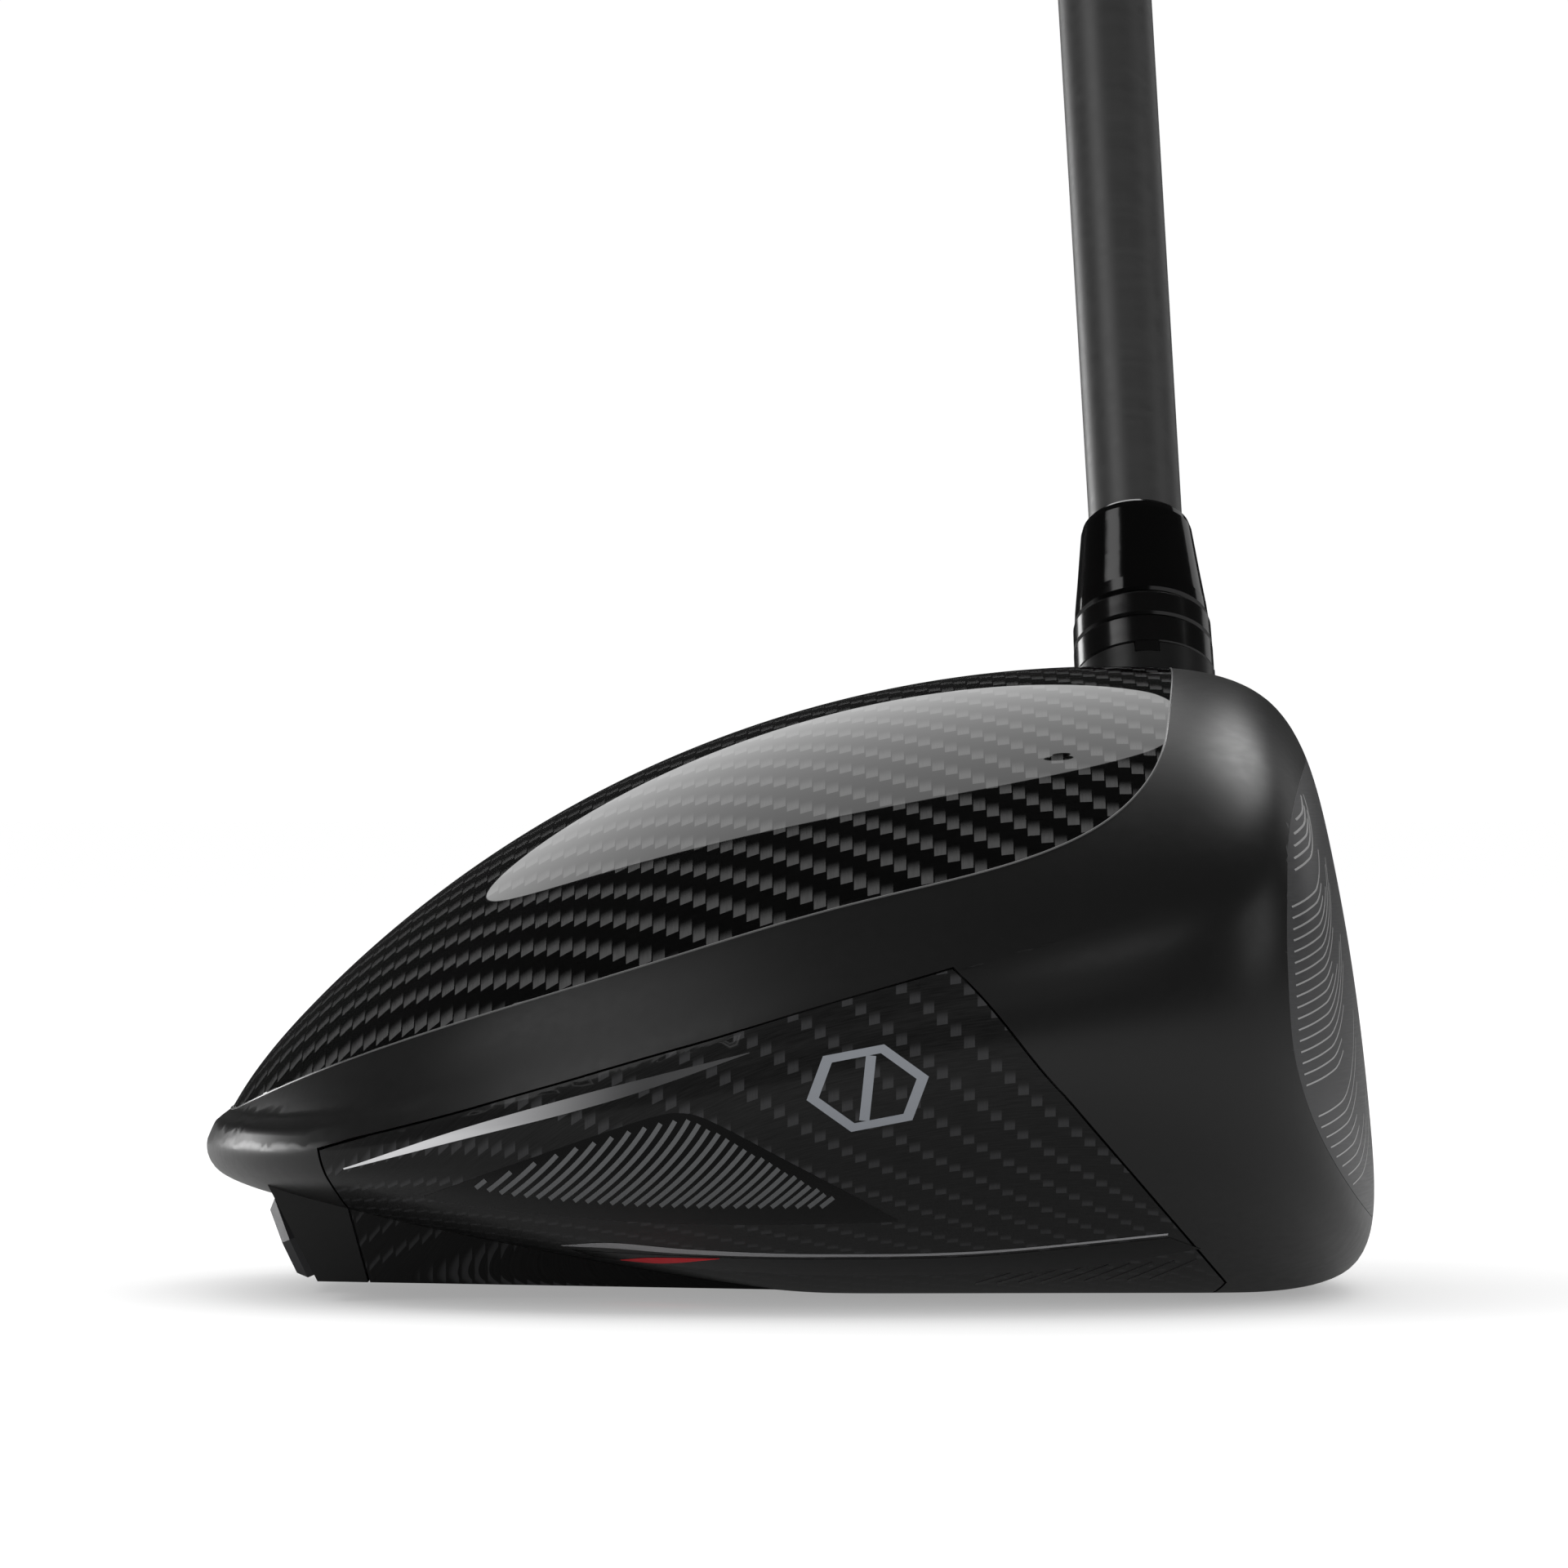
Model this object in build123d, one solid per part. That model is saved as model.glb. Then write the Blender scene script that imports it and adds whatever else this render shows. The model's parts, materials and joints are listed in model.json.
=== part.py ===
from build123d import *
import math
import os
import numpy as np

# Golf driver for a right-handed player, at address. Millimetres, +Z up.
# +X is the target, -Y the toe, +Y the heel and the player's side.
# The origin lies on the flat of the sole that rests on the ground.

# ---- Head envelope ---------------------------------------------------------------
MIDDLE_X, MIDDLE_Y = -9.7, -1.0          # widest station of the plan outline
REAR_REACH, FRONT_REACH = 58.9, 57.0     # plan outline, measured from the middle
HALF_LENGTH = 63.0                       # heel-toe, before the edges are rounded
CROWN_RADIUS, CROWN_CROSS_RADIUS = 105.0, 80.0
CROWN_TOP_X, CROWN_TOP_Z = 16.3, 58.6
FACE_X, FACE_HEIGHT = 38.7, 30.0         # centre of the face
LOFT_DEG, ROLL_RADIUS, BULGE_RADIUS = 9.65, 350.0, 305.0
EQUATOR_TAIL_Z, EQUATOR_SLOPE, EQUATOR_BEND_X = 14.3, 0.298, -55.0
SOLE_RISE_X, SOLE_RISE_SLOPE = -12.0, 0.08
REST_FLAT_DEPTH = 0.25                   # how far the ground flat is cut into the sole
SKIRT_LEAN = 0.0085

# ---- Shell and panels ------------------------------------------------------------
PANEL_THICKNESS = 0.8
GLUE_GAP = 0.1
WALL = 1.7
PANEL_EDGE_GAP = 0.2
LEDGE_WIDTH = 5.0
FACE_PLATE_EXTRA = 1.1                   # the face plate is this much thicker than the wall
WELD_GAP = 0.05
FACE_PLATE_Y, FACE_PLATE_Z = -4.0, 28.5
FACE_PLATE_HALF_LENGTH, FACE_PLATE_HALF_HEIGHT = 46.5, 21.5

# ---- Keel and rear weight --------------------------------------------------------
KEEL_REAR_X, KEEL_FRONT_X = -66.0, 4.0
KEEL_REAR_HALF, KEEL_FRONT_HALF = 30.0, 13.0
KEEL_DRAFT = 2.6                         # each side narrows by this over the keel's height
KEEL_TOP_Z, KEEL_REAR_BOTTOM_Z = 16.0, 1.85
REAR_FACE_X, REAR_FACE_Z, REAR_FACE_LEAN_DEG = -59.3, 6.3, 23.0
WEIGHT_LENGTH, WEIGHT_HEIGHT, WEIGHT_PROUD = 25.0, 8.0, 2.5
WEIGHT_DROP = 0.6                        # centre of the weight below the rear face's middle
WEIGHT_PLUG_LENGTH, WEIGHT_PLUG_HEIGHT, WEIGHT_PLUG_DEPTH = 19.0, 6.6, 2.2
WEIGHT_SCREW_RADIUS, WEIGHT_SCREW_LENGTH = 1.97, 9.0
WEIGHT_SCREW_HEAD_RADIUS, WEIGHT_SCREW_HEAD = 3.0, 1.7

# ---- Hosel, adapter and shaft: stations are measured along the axis from the ground
HOSEL_X, HOSEL_Y = 23.4, 18.3
LIE_DEG, BACK_LEAN_DEG = 58.0, 2.0
SHAFT_TILT_DEG, SHAFT_TILT_STATION = 1.0, 70.0
HOSEL_RADIUS, HOSEL_BORE, HOSEL_RIM = 7.0, 6.05, 68.3
LEDGE_LOW, LEDGE_HIGH, LEDGE_HOLE = 31.0, 34.0, 2.75
PORT_RADIUS, PORT_STEP_RADIUS, PORT_STEP = 5.0, 4.6, 24.0
RING_TOP, COLLAR_TOP, FERRULE_TOP = 71.8, 74.6, 86.7
RING_LIP_RADIUS, RING_LIP = 6.55, 1.9    # the index ring's foot inside the hosel's mouth
TANG_COUNT, TANG_WIDTH, TANG_DEPTH = 4, 2.4, 1.0
SLEEVE_RADIUS, SLEEVE_BOTTOM = 6.0, 35.5
BOLT_RADIUS, BOLT_HEAD_RADIUS, BOLT_TIP = 2.45, 4.1, 46.5
INSERT_RADIUS = 3.9                      # threaded steel insert in the sleeve's foot
BOLT_HEAD_LOW, BOLT_HEAD_HIGH = 25.7, 30.1
SHAFT_TIP, SHAFT_TIP_RADIUS = 48.5, 4.25
SHAFT_BUTT, SHAFT_BUTT_RADIUS, SHAFT_WALL = 1153.0, 7.6, 1.2
SHAFT_FERRULE_RADIUS = 4.7
GRIP_MOUTH, CLUB_LENGTH = 889.0, 1156.0
GRIP_MOUTH_RADIUS, GRIP_BUTT_RADIUS = 9.8, 14.2
TAPE_THICKNESS = 0.25
VENT_RADIUS = 1.5

os.makedirs("parts", exist_ok=True)


# ---- Head surface ----------------------------------------------------------------
# The skin is where head_field is zero. It is negative inside, and close to the
# distance from the skin in millimetres, so a level of it is an offset skin.
def rounded_max(first, second, reach):
    overlap = np.maximum(reach - np.abs(first - second), 0.0) / reach
    return np.maximum(first, second) + overlap**3 * reach / 6.0


def soft_ramp(value, softness):
    return softness * np.log1p(np.exp(np.clip(value / softness, -40.0, 40.0)))


def smooth_step(value, low, high):
    share = np.clip((value - low) / (high - low), 0.0, 1.0)
    return share * share * (3.0 - 2.0 * share)


def equator_height(x):
    return EQUATOR_TAIL_Z + EQUATOR_SLOPE * soft_ramp(x - EQUATOR_BEND_X, 4.0)


def crown_distance(x, y, z):
    drop = CROWN_CROSS_RADIUS - np.sqrt(np.maximum(CROWN_CROSS_RADIUS**2 - y * y, 1.0))
    centre_z = CROWN_TOP_Z - CROWN_RADIUS
    return np.hypot(x - CROWN_TOP_X, z - centre_z + drop) - CROWN_RADIUS


def side_distance(x, y, z):
    height = equator_height(x)
    sole = SOLE_RISE_SLOPE * soft_ramp(SOLE_RISE_X - x, 2.0) - REST_FLAT_DEPTH
    back = np.maximum(MIDDLE_X - x, 0.0) / REAR_REACH
    side = np.abs(y - MIDDLE_Y) / HALF_LENGTH
    below = (height - z) / (height - sole)
    bowl = np.where(below > 0, below * below, SKIRT_LEAN * (z - height))
    slope_x = 2.1 * back**1.1 / REAR_REACH
    slope_y = 2.2 * side**1.2 / HALF_LENGTH
    slope_z = np.where(below > 0, 2.0 * below / (height - sole), SKIRT_LEAN)
    slope = np.sqrt(slope_x**2 + slope_y**2 + slope_z**2)
    return (back**2.1 + side**2.2 + bowl - 1.0) / np.maximum(slope, 0.012)


def front_corner_distance(x, y):
    ahead = np.maximum(x - MIDDLE_X, 0.0) / FRONT_REACH
    side = np.abs(y - MIDDLE_Y) / HALF_LENGTH
    slope = 2.6 * np.hypot(ahead**1.6 / FRONT_REACH, side**1.6 / HALF_LENGTH)
    return (ahead**2.6 + side**2.6 - 1.0) / np.maximum(slope, 0.015)


def face_distance(x, y, z):
    up = z - FACE_HEIGHT
    lean = up * math.tan(math.radians(LOFT_DEG))
    curve = up * up / (2.0 * ROLL_RADIUS) + y * y / (2.0 * BULGE_RADIUS)
    return (x - FACE_X + lean + curve) * math.cos(math.radians(LOFT_DEG))


def head_field(x, y, z):
    skirt_round = 6.0 + 14.0 * smooth_step(x, -68.0, -20.0)
    face_round = 18.0 - 4.0 * smooth_step(z, 8.0, 40.0)
    field = rounded_max(side_distance(x, y, z), crown_distance(x, y, z), skirt_round)
    field = rounded_max(field, front_corner_distance(x, y), 12.0)
    return rounded_max(field, face_distance(x, y, z), face_round)


# ---- Skins: a loft through rounded outlines from toe to heel -----------------------
SECTION_X, SECTION_Z = -8.0, 28.0        # every outline is seen whole from this line
OUTLINE_POINTS, STATIONS, RAYS = 60, 19, 720
END_SHARE = 0.04                         # how far in from its tips the loft starts and ends


def outward(field, level, steps=36, far=110.0):
    """Distances along rays at which field(distance) reaches the level."""
    near, far = np.zeros(RAYS), np.full(RAYS, far)
    for _ in range(steps):
        middle = (near + far) / 2.0
        inside = field(middle) < level
        near = np.where(inside, middle, near)
        far = np.where(inside, far, middle)
    return near


def even_outline(u, v, count):
    """Points spaced along a closed outline, closer together where it turns."""
    step_u, step_v = np.diff(u, append=u[:1]), np.diff(v, append=v[:1])
    length = np.hypot(step_u, step_v)
    heading = np.arctan2(step_v, step_u)
    turn = np.diff(heading, prepend=heading[-1:])
    turn = np.abs((turn + np.pi) % (2.0 * np.pi) - np.pi)
    weight = length / length.sum() + 1.2 * turn / turn.sum()
    half = 12
    padded = np.concatenate([weight[-half:], weight, weight[:half]])
    weight = np.convolve(padded, np.ones(2 * half + 1), "valid")
    place = np.concatenate([[0.0], np.cumsum(weight)]) / weight.sum()
    wanted = np.arange(count) / count
    return np.interp(wanted, place, np.append(u, u[0])), np.interp(wanted, place, np.append(v, v[0]))


def closed_spline(points):
    count = len(points)
    knots = [i / count for i in range(count + 1)]
    return Wire([Edge.make_spline([Vector(*p) for p in points], periodic=True, parameters=knots)])


def head_outline(y, level):
    angle = np.arange(RAYS) * 2.0 * np.pi / RAYS
    along_x, along_z = np.cos(angle), np.sin(angle)
    reach = outward(lambda r: head_field(SECTION_X + along_x * r, y, SECTION_Z + along_z * r), level)
    xs, zs = even_outline(SECTION_X + along_x * reach, SECTION_Z + along_z * reach, OUTLINE_POINTS)
    return closed_spline([(float(x), y, float(z)) for x, z in zip(xs, zs)])


def tip_reach(side, level):
    ray = lambda r: head_field(np.full(RAYS, SECTION_X), side * r, np.full(RAYS, SECTION_Z))
    return side * float(outward(ray, level)[0])


def head_skin(level):
    toe, heel = tip_reach(-1.0, level), tip_reach(1.0, level)
    middle, half = (toe + heel) / 2.0, (heel - toe) / 2.0
    turns = [math.pi * (END_SHARE + (1.0 - 2.0 * END_SHARE) * i / (STATIONS - 1)) for i in range(STATIONS)]
    return Solid.make_loft([head_outline(middle - half * math.cos(t), level) for t in turns])


def box_between(low, high):
    size = [b - a for a, b in zip(low, high)]
    centre = [(a + b) / 2.0 for a, b in zip(low, high)]
    return Pos(*centre) * Box(*size)


def side_prism(points, low_y=-90.0, high_y=90.0):
    """A side-view outline, (x, z) points, run from low_y to high_y."""
    face = make_face(Polyline(*[(x, low_y, z) for x, z in points], close=True))
    return extrude(face, high_y - low_y, dir=(0, 1, 0))


def plan_prism(points, low_z=-10.0, high_z=90.0):
    """A plan-view outline, (x, y) points, run from low_z to high_z."""
    face = make_face(Polyline(*[(x, y, low_z) for x, y in points], close=True))
    return extrude(face, high_z - low_z, dir=(0, 0, 1))


def keel_half(x):
    share = (x - KEEL_REAR_X) / (KEEL_FRONT_X - KEEL_REAR_X)
    return KEEL_REAR_HALF + (KEEL_FRONT_HALF - KEEL_REAR_HALF) * share


def keel_block(inset):
    """The keel under the rear of the sole, its walls moved inward by inset."""
    corners = [(KEEL_REAR_X, KEEL_REAR_HALF), (KEEL_FRONT_X, KEEL_FRONT_HALF)]

    def outline(z, narrower):
        right = [(x, -half + narrower + inset, z) for x, half in corners]
        left = [(x, half - narrower - inset, z) for x, half in reversed(corners)]
        return Wire.make_polygon([Vector(*p) for p in right + left])

    wedge = Solid.make_loft([outline(0.0, KEEL_DRAFT), outline(KEEL_TOP_Z, 0.0)], ruled=True)
    lean = math.tan(math.radians(REAR_FACE_LEAN_DEG))
    shift = inset / math.cos(math.radians(REAR_FACE_LEAN_DEG))

    def rear_x(z):
        return REAR_FACE_X - (z - REAR_FACE_Z) * lean + shift

    low = KEEL_REAR_BOTTOM_Z + inset
    profile = side_prism([
        (rear_x(low), low),
        (KEEL_FRONT_X, inset),
        (KEEL_FRONT_X, 8.0),
        (-45.0, 15.5),
        (rear_x(13.5), 13.5),
    ])
    return wedge & profile


def head_solid(inset):
    return head_skin(-inset) + keel_block(inset)


outer = head_solid(0.0) - box_between((-90, -90, -20), (90, 90, 0))
panel_back = head_solid(PANEL_THICKNESS)
ledge_top = head_solid(PANEL_THICKNESS + GLUE_GAP)
cavity = head_solid(WALL)

# ---- Crown panel outline, seen from above ------------------------------------------
CROWN_REAR, CROWN_SIDE, CROWN_FRONT_X = 56.9, 50.3, 21.9
CROWN_HEEL_SIDE = 47.5


def crown_edge_distance(x, y):
    back = np.maximum(MIDDLE_X - x, 0.0) / CROWN_REAR
    side = np.abs(y - MIDDLE_Y) / np.where(y < MIDDLE_Y, CROWN_SIDE, CROWN_HEEL_SIDE)
    slope = np.hypot(2.4 * back**1.4 / CROWN_REAR, 2.2 * side**1.2 / CROWN_SIDE)
    edge = (back**2.4 + side**2.2 - 1.0) / np.maximum(slope, 0.015)
    front = x - CROWN_FRONT_X + y * y / np.where(y < 0, 650.0, 350.0)
    return rounded_max(edge, front, 30.0)


def crown_prism(inset):
    angle = np.arange(RAYS) * 2.0 * np.pi / RAYS
    along_x, along_y = np.cos(angle), np.sin(angle)
    centre_x = -20.0
    reach = outward(lambda r: crown_edge_distance(centre_x + along_x * r, along_y * r), -inset)
    xs, ys = even_outline(centre_x + along_x * reach, along_y * reach, OUTLINE_POINTS)
    base = closed_spline([(float(x), float(y), 0.0) for x, y in zip(xs, ys)])
    column = extrude(Face(base), 90.0, dir=(0, 0, 1))
    below = side_prism([(-90, -10), (40, -10), (40, 45.0), (-20, 30.0), (-68, 15.6), (-90, 15.6)])
    return column - below


# ---- Sole panels: bowl and keel side, one at the toe and one at the heel -----------
TOE_PANEL = [(-56.2, 14.6), (0.4, 31.4), (26.2, 1.6), (24.0, -3.0), (-51.6, -3.0)]
HEEL_PANEL = [(-56.2, 14.6), (-12.0, 27.6), (5.6, 1.6), (4.6, -3.0), (-51.6, -3.0)]
PANEL_INNER_FRONT_Y = 12.5


def inset_polygon(points, inset):
    """The convex outline with every edge moved inward; its points run clockwise."""
    moved = []
    for (ax, ay), (bx, by) in zip(points, points[1:] + points[:1]):
        length = math.hypot(bx - ax, by - ay)
        normal = ((by - ay) / length, -(bx - ax) / length)
        moved.append((normal, normal[0] * ax + normal[1] * ay + inset))
    corners = []
    for ((n1x, n1y), c1), ((n2x, n2y), c2) in zip([moved[-1]] + moved[:-1], moved):
        cross = n1x * n2y - n1y * n2x
        corners.append(((c1 * n2y - c2 * n1y) / cross, (n1x * c2 - n2x * c1) / cross))
    return corners


def panel_prism(points, toward, inset):
    """toward is -1 for the toe side and +1 for the heel side."""
    low_y, high_y = (-95.0, 0.0) if toward < 0 else (0.0, 95.0)
    column = side_prism(inset_polygon(points, inset), low_y, high_y)
    rear = keel_half(-58.0) - KEEL_DRAFT - 1.5
    front = keel_half(0.0) - KEEL_DRAFT - 1.5
    inner = [(-70, rear + inset), (0, front + inset), (40, PANEL_INNER_FRONT_Y + inset), (40, -1), (-70, -1)]
    return column - plan_prism([(x, toward * y) for x, y in inner])


def window_prism(points, toward):
    """The opening under a sole panel, clear of its glued ledge and of the keel."""
    column = panel_prism(points, toward, LEDGE_WIDTH)
    inner = [(-70, keel_half(-58.0) + 4.0), (4, keel_half(4.0) + 4.0), (40, 20.0), (40, -1), (-70, -1)]
    return column - plan_prism([(x, toward * y) for x, y in inner])


# ---- Hosel axis ----------------------------------------------------------------------
axis_y = math.cos(math.radians(LIE_DEG))
axis_z = math.sin(math.radians(LIE_DEG))
axis_x = -axis_z * math.tan(math.radians(BACK_LEAN_DEG))
hosel_frame = Plane(origin=(HOSEL_X, HOSEL_Y, 0), x_dir=(0, axis_z, -axis_y), z_dir=(axis_x, axis_y, axis_z))
# The shaft leans from the hosel axis towards the player, about a point in the adapter.
shaft_frame = hosel_frame.location * Pos(0, 0, SHAFT_TILT_STATION) * Rot(0, SHAFT_TILT_DEG, 0) * Pos(
    0, 0, -SHAFT_TILT_STATION
)


def turned(points):
    """A solid of revolution about local Z from (radius, station) points."""
    face = make_face(Polyline(*[(r, 0, s) for r, s in points], close=True))
    return revolve(face, Axis.Z)


def rod(radius, low, high):
    return Pos(0, 0, (low + high) / 2.0) * Cylinder(radius, high - low)


def on_hosel(shape):
    return hosel_frame.location * shape


def on_shaft(shape):
    return shaft_frame * shape


# ---- Face plate ------------------------------------------------------------------------
def face_prism(grow):
    points = []
    for i in range(48):
        angle = 2.0 * math.pi * i / 48
        c, s = math.cos(angle), math.sin(angle)
        y = (FACE_PLATE_HALF_LENGTH + grow) * math.copysign(abs(c) ** (2 / 2.4), c)
        z = (FACE_PLATE_HALF_HEIGHT + grow) * math.copysign(abs(s) ** (2 / 2.4), s)
        points.append((20.0, FACE_PLATE_Y + y, FACE_PLATE_Z + z))
    return extrude(Face(closed_spline(points)), 40.0, dir=(1, 0, 0))


face_plate = (outer & face_prism(0.0)) - Pos(-FACE_PLATE_EXTRA, 0, 0) * cavity

# ---- Titanium casting -----------------------------------------------------------------
tube = turned([
    (0, 20), (7.4, 20), (7.4, 50), (9.4, 53), (7.6, 57.5), (HOSEL_RADIUS, 62),
    (HOSEL_RADIUS, HOSEL_RIM - 0.3), (HOSEL_RADIUS - 0.3, HOSEL_RIM), (0, HOSEL_RIM),
])
port_tube = on_hosel(rod(6.4, -8.0, 34.0)) & outer
rear_lean = math.radians(REAR_FACE_LEAN_DEG)
weight_frame = Plane(
    origin=(
        REAR_FACE_X + WEIGHT_DROP * math.sin(rear_lean),
        0,
        REAR_FACE_Z - WEIGHT_DROP * math.cos(rear_lean),
    ),
    x_dir=(0, 1, 0),
    z_dir=(-math.cos(rear_lean), 0, -math.sin(rear_lean)),
)


def on_rear(shape):
    return weight_frame.location * shape


housing = keel_block(0.0) & side_prism([(-80, 20), TOE_PANEL[0], TOE_PANEL[-1], (-80, -3)])
boss = on_rear(rod(3.9, -WEIGHT_SCREW_LENGTH - 1.5, -1.0)) & outer
shell = outer - cavity
casting = shell - (crown_prism(0.0) - ledge_top)
casting = casting - crown_prism(LEDGE_WIDTH)
for panel_points, toward in ((TOE_PANEL, -1), (HEEL_PANEL, 1)):
    casting = casting - (panel_prism(panel_points, toward, 0.0) - ledge_top)
    casting = casting - window_prism(panel_points, toward)
casting = casting - face_prism(WELD_GAP)
casting = casting + housing + boss + port_tube + on_hosel(tube)
hosel_cut = rod(HOSEL_BORE, LEDGE_HIGH, HOSEL_RIM + 5) + rod(LEDGE_HOLE, 20, 40)
hosel_cut = hosel_cut + rod(PORT_STEP_RADIUS, PORT_STEP, LEDGE_LOW) + rod(PORT_RADIUS, -12, PORT_STEP)
hosel_cut = hosel_cut + rod(RING_LIP_RADIUS + 0.05, HOSEL_RIM - RING_LIP - 0.1, HOSEL_RIM + 5)
casting = casting - on_hosel(hosel_cut)


def hexagon_bar(length, height, low, high):
    """An elongated hexagon, pointed at both ends, from low to high along local Z."""
    tip = height * 0.42
    points = [
        (-length / 2, 0), (-length / 2 + tip, -height / 2), (length / 2 - tip, -height / 2),
        (length / 2, 0), (length / 2 - tip, height / 2), (-length / 2 + tip, height / 2),
    ]
    face = make_face(Polyline(*[(x, y, low) for x, y in points], close=True))
    return extrude(face, high - low, dir=(0, 0, 1))


plug_pocket = hexagon_bar(WEIGHT_PLUG_LENGTH + 0.2, WEIGHT_PLUG_HEIGHT + 0.2, -WEIGHT_PLUG_DEPTH - 0.1, 1.0)
screw_hole = rod(WEIGHT_SCREW_RADIUS + 0.06, -WEIGHT_SCREW_LENGTH - 0.3, 1.0)
weight_clearance = hexagon_bar(WEIGHT_LENGTH + 0.8, WEIGHT_HEIGHT + 0.8, 0.0, 12.0)
casting = casting - on_rear(plug_pocket + screw_hole + weight_clearance)

# ---- Carbon panels ---------------------------------------------------------------------
crown_panel = (outer - panel_back) & crown_prism(PANEL_EDGE_GAP)


def sole_panel(points, toward):
    half = box_between((-90, min(0, toward * 90), -20), (90, max(0, toward * 90), 90))
    layer = (outer & half) - (panel_back & half)
    return layer & panel_prism(points, toward, PANEL_EDGE_GAP)


sole_panel_toe = sole_panel(TOE_PANEL, -1)
sole_panel_heel = sole_panel(HEEL_PANEL, 1)

# ---- Rear weight and its screw ------------------------------------------------------------
weight_plate = hexagon_bar(WEIGHT_LENGTH, WEIGHT_HEIGHT, 0.05, WEIGHT_PROUD)
weight_plate = chamfer(weight_plate.faces().sort_by(Axis.Z)[-1].edges(), 0.8)
weight_plug = hexagon_bar(WEIGHT_PLUG_LENGTH, WEIGHT_PLUG_HEIGHT, -WEIGHT_PLUG_DEPTH, 0.3)
head_seat = WEIGHT_PROUD - WEIGHT_SCREW_HEAD - 0.1
rear_weight = weight_plate + weight_plug
rear_weight = rear_weight - rod(WEIGHT_SCREW_RADIUS + 0.06, -5, 5)
rear_weight = rear_weight - rod(WEIGHT_SCREW_HEAD_RADIUS + 0.08, head_seat, 5)
rear_weight_screw = rod(WEIGHT_SCREW_HEAD_RADIUS, head_seat + 0.05, WEIGHT_PROUD - 0.05)
rear_weight_screw = chamfer(rear_weight_screw.edges().sort_by(Axis.Z)[-1], 0.25)
rear_weight_screw = rear_weight_screw + rod(WEIGHT_SCREW_RADIUS, -WEIGHT_SCREW_LENGTH, 1.0)
screw_socket = extrude(Pos(0, 0, 1.2) * RegularPolygon(1.45, 6), 3.0)
rear_weight_screw = rear_weight_screw - screw_socket

# ---- Hosel bolt, washer and retainer --------------------------------------------------------
bolt_head = chamfer(rod(BOLT_HEAD_RADIUS, BOLT_HEAD_LOW, BOLT_HEAD_HIGH).edges().sort_by(Axis.Z)[0], 0.4)
bolt_socket = extrude(Pos(0, 0, BOLT_HEAD_LOW - 1) * RegularPolygon(2.3, 6), 3.8)
hosel_bolt = bolt_head + rod(BOLT_RADIUS, BOLT_HEAD_HIGH - 0.5, BOLT_TIP) - bolt_socket
hosel_bolt = chamfer(hosel_bolt.edges().filter_by(GeomType.CIRCLE).sort_by(Axis.Z)[-1], 0.5)
hosel_washer = rod(BOLT_HEAD_RADIUS + 0.3, BOLT_HEAD_HIGH + 0.05, LEDGE_LOW - 0.05) - rod(2.6, 20, 40)
bolt_retainer = rod(4.4, LEDGE_HIGH + 0.1, LEDGE_HIGH + 1.0) - rod(BOLT_RADIUS + 0.02, 30, 40)

# ---- Index ring, adapter sleeve and ferrule ----------------------------------------------------
ring_band = turned([
    (SLEEVE_RADIUS + 0.06, HOSEL_RIM - RING_LIP), (RING_LIP_RADIUS, HOSEL_RIM - RING_LIP),
    (RING_LIP_RADIUS, HOSEL_RIM + 0.05), (HOSEL_RADIUS - 0.28, HOSEL_RIM + 0.05),
    (HOSEL_RADIUS - 0.03, HOSEL_RIM + 0.3), (HOSEL_RADIUS - 0.05, RING_TOP - 0.35),
    (HOSEL_RADIUS - 0.3, RING_TOP - 0.05), (SLEEVE_RADIUS + 0.06, RING_TOP - 0.05),
])
tangs = [Rot(0, 0, 90.0 * i) * Pos(HOSEL_RADIUS - 0.35, 0, HOSEL_RIM - TANG_DEPTH / 2 + 0.1)
         * Box(0.6, TANG_WIDTH, TANG_DEPTH + 0.2) for i in range(TANG_COUNT)]
notches = [Rot(0, 0, 90.0 * i) * Pos(HOSEL_RADIUS - 0.1, 0, HOSEL_RIM - TANG_DEPTH / 2)
           * Box(1.2, TANG_WIDTH + 0.1, TANG_DEPTH + 0.1) for i in range(TANG_COUNT)]
for notch in notches:
    casting = casting - on_hosel(notch)
index_ring = ring_band
for tang in tangs:
    index_ring = index_ring + tang
adapter_sleeve = turned([
    (0, SLEEVE_BOTTOM), (SLEEVE_RADIUS - 0.4, SLEEVE_BOTTOM), (SLEEVE_RADIUS, SLEEVE_BOTTOM + 0.6),
    (SLEEVE_RADIUS, RING_TOP), (HOSEL_RADIUS - 0.3, RING_TOP), (HOSEL_RADIUS - 0.08, RING_TOP + 0.25),
    (HOSEL_RADIUS - 0.12, COLLAR_TOP - 0.3), (HOSEL_RADIUS - 0.35, COLLAR_TOP), (0, COLLAR_TOP),
])
insert_top = SHAFT_TIP - 1.5
adapter_sleeve = adapter_sleeve - rod(INSERT_RADIUS + 0.01, 30, insert_top)
thread_insert = rod(INSERT_RADIUS, SLEEVE_BOTTOM, insert_top - 0.02) - rod(BOLT_RADIUS + 0.06, 30, 60)
adapter_sleeve = on_hosel(adapter_sleeve) - on_shaft(rod(SHAFT_TIP_RADIUS + 0.05, SHAFT_TIP, COLLAR_TOP + 5))


def shaft_radius(station):
    if station <= COLLAR_TOP + 1.0:
        return SHAFT_TIP_RADIUS
    if station <= FERRULE_TOP:
        share = (station - COLLAR_TOP - 1.0) / (FERRULE_TOP - COLLAR_TOP - 1.0)
        return SHAFT_TIP_RADIUS + (SHAFT_FERRULE_RADIUS - SHAFT_TIP_RADIUS) * share
    share = (station - FERRULE_TOP) / (SHAFT_BUTT - FERRULE_TOP)
    return SHAFT_FERRULE_RADIUS + (SHAFT_BUTT_RADIUS - SHAFT_FERRULE_RADIUS) * share


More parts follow.
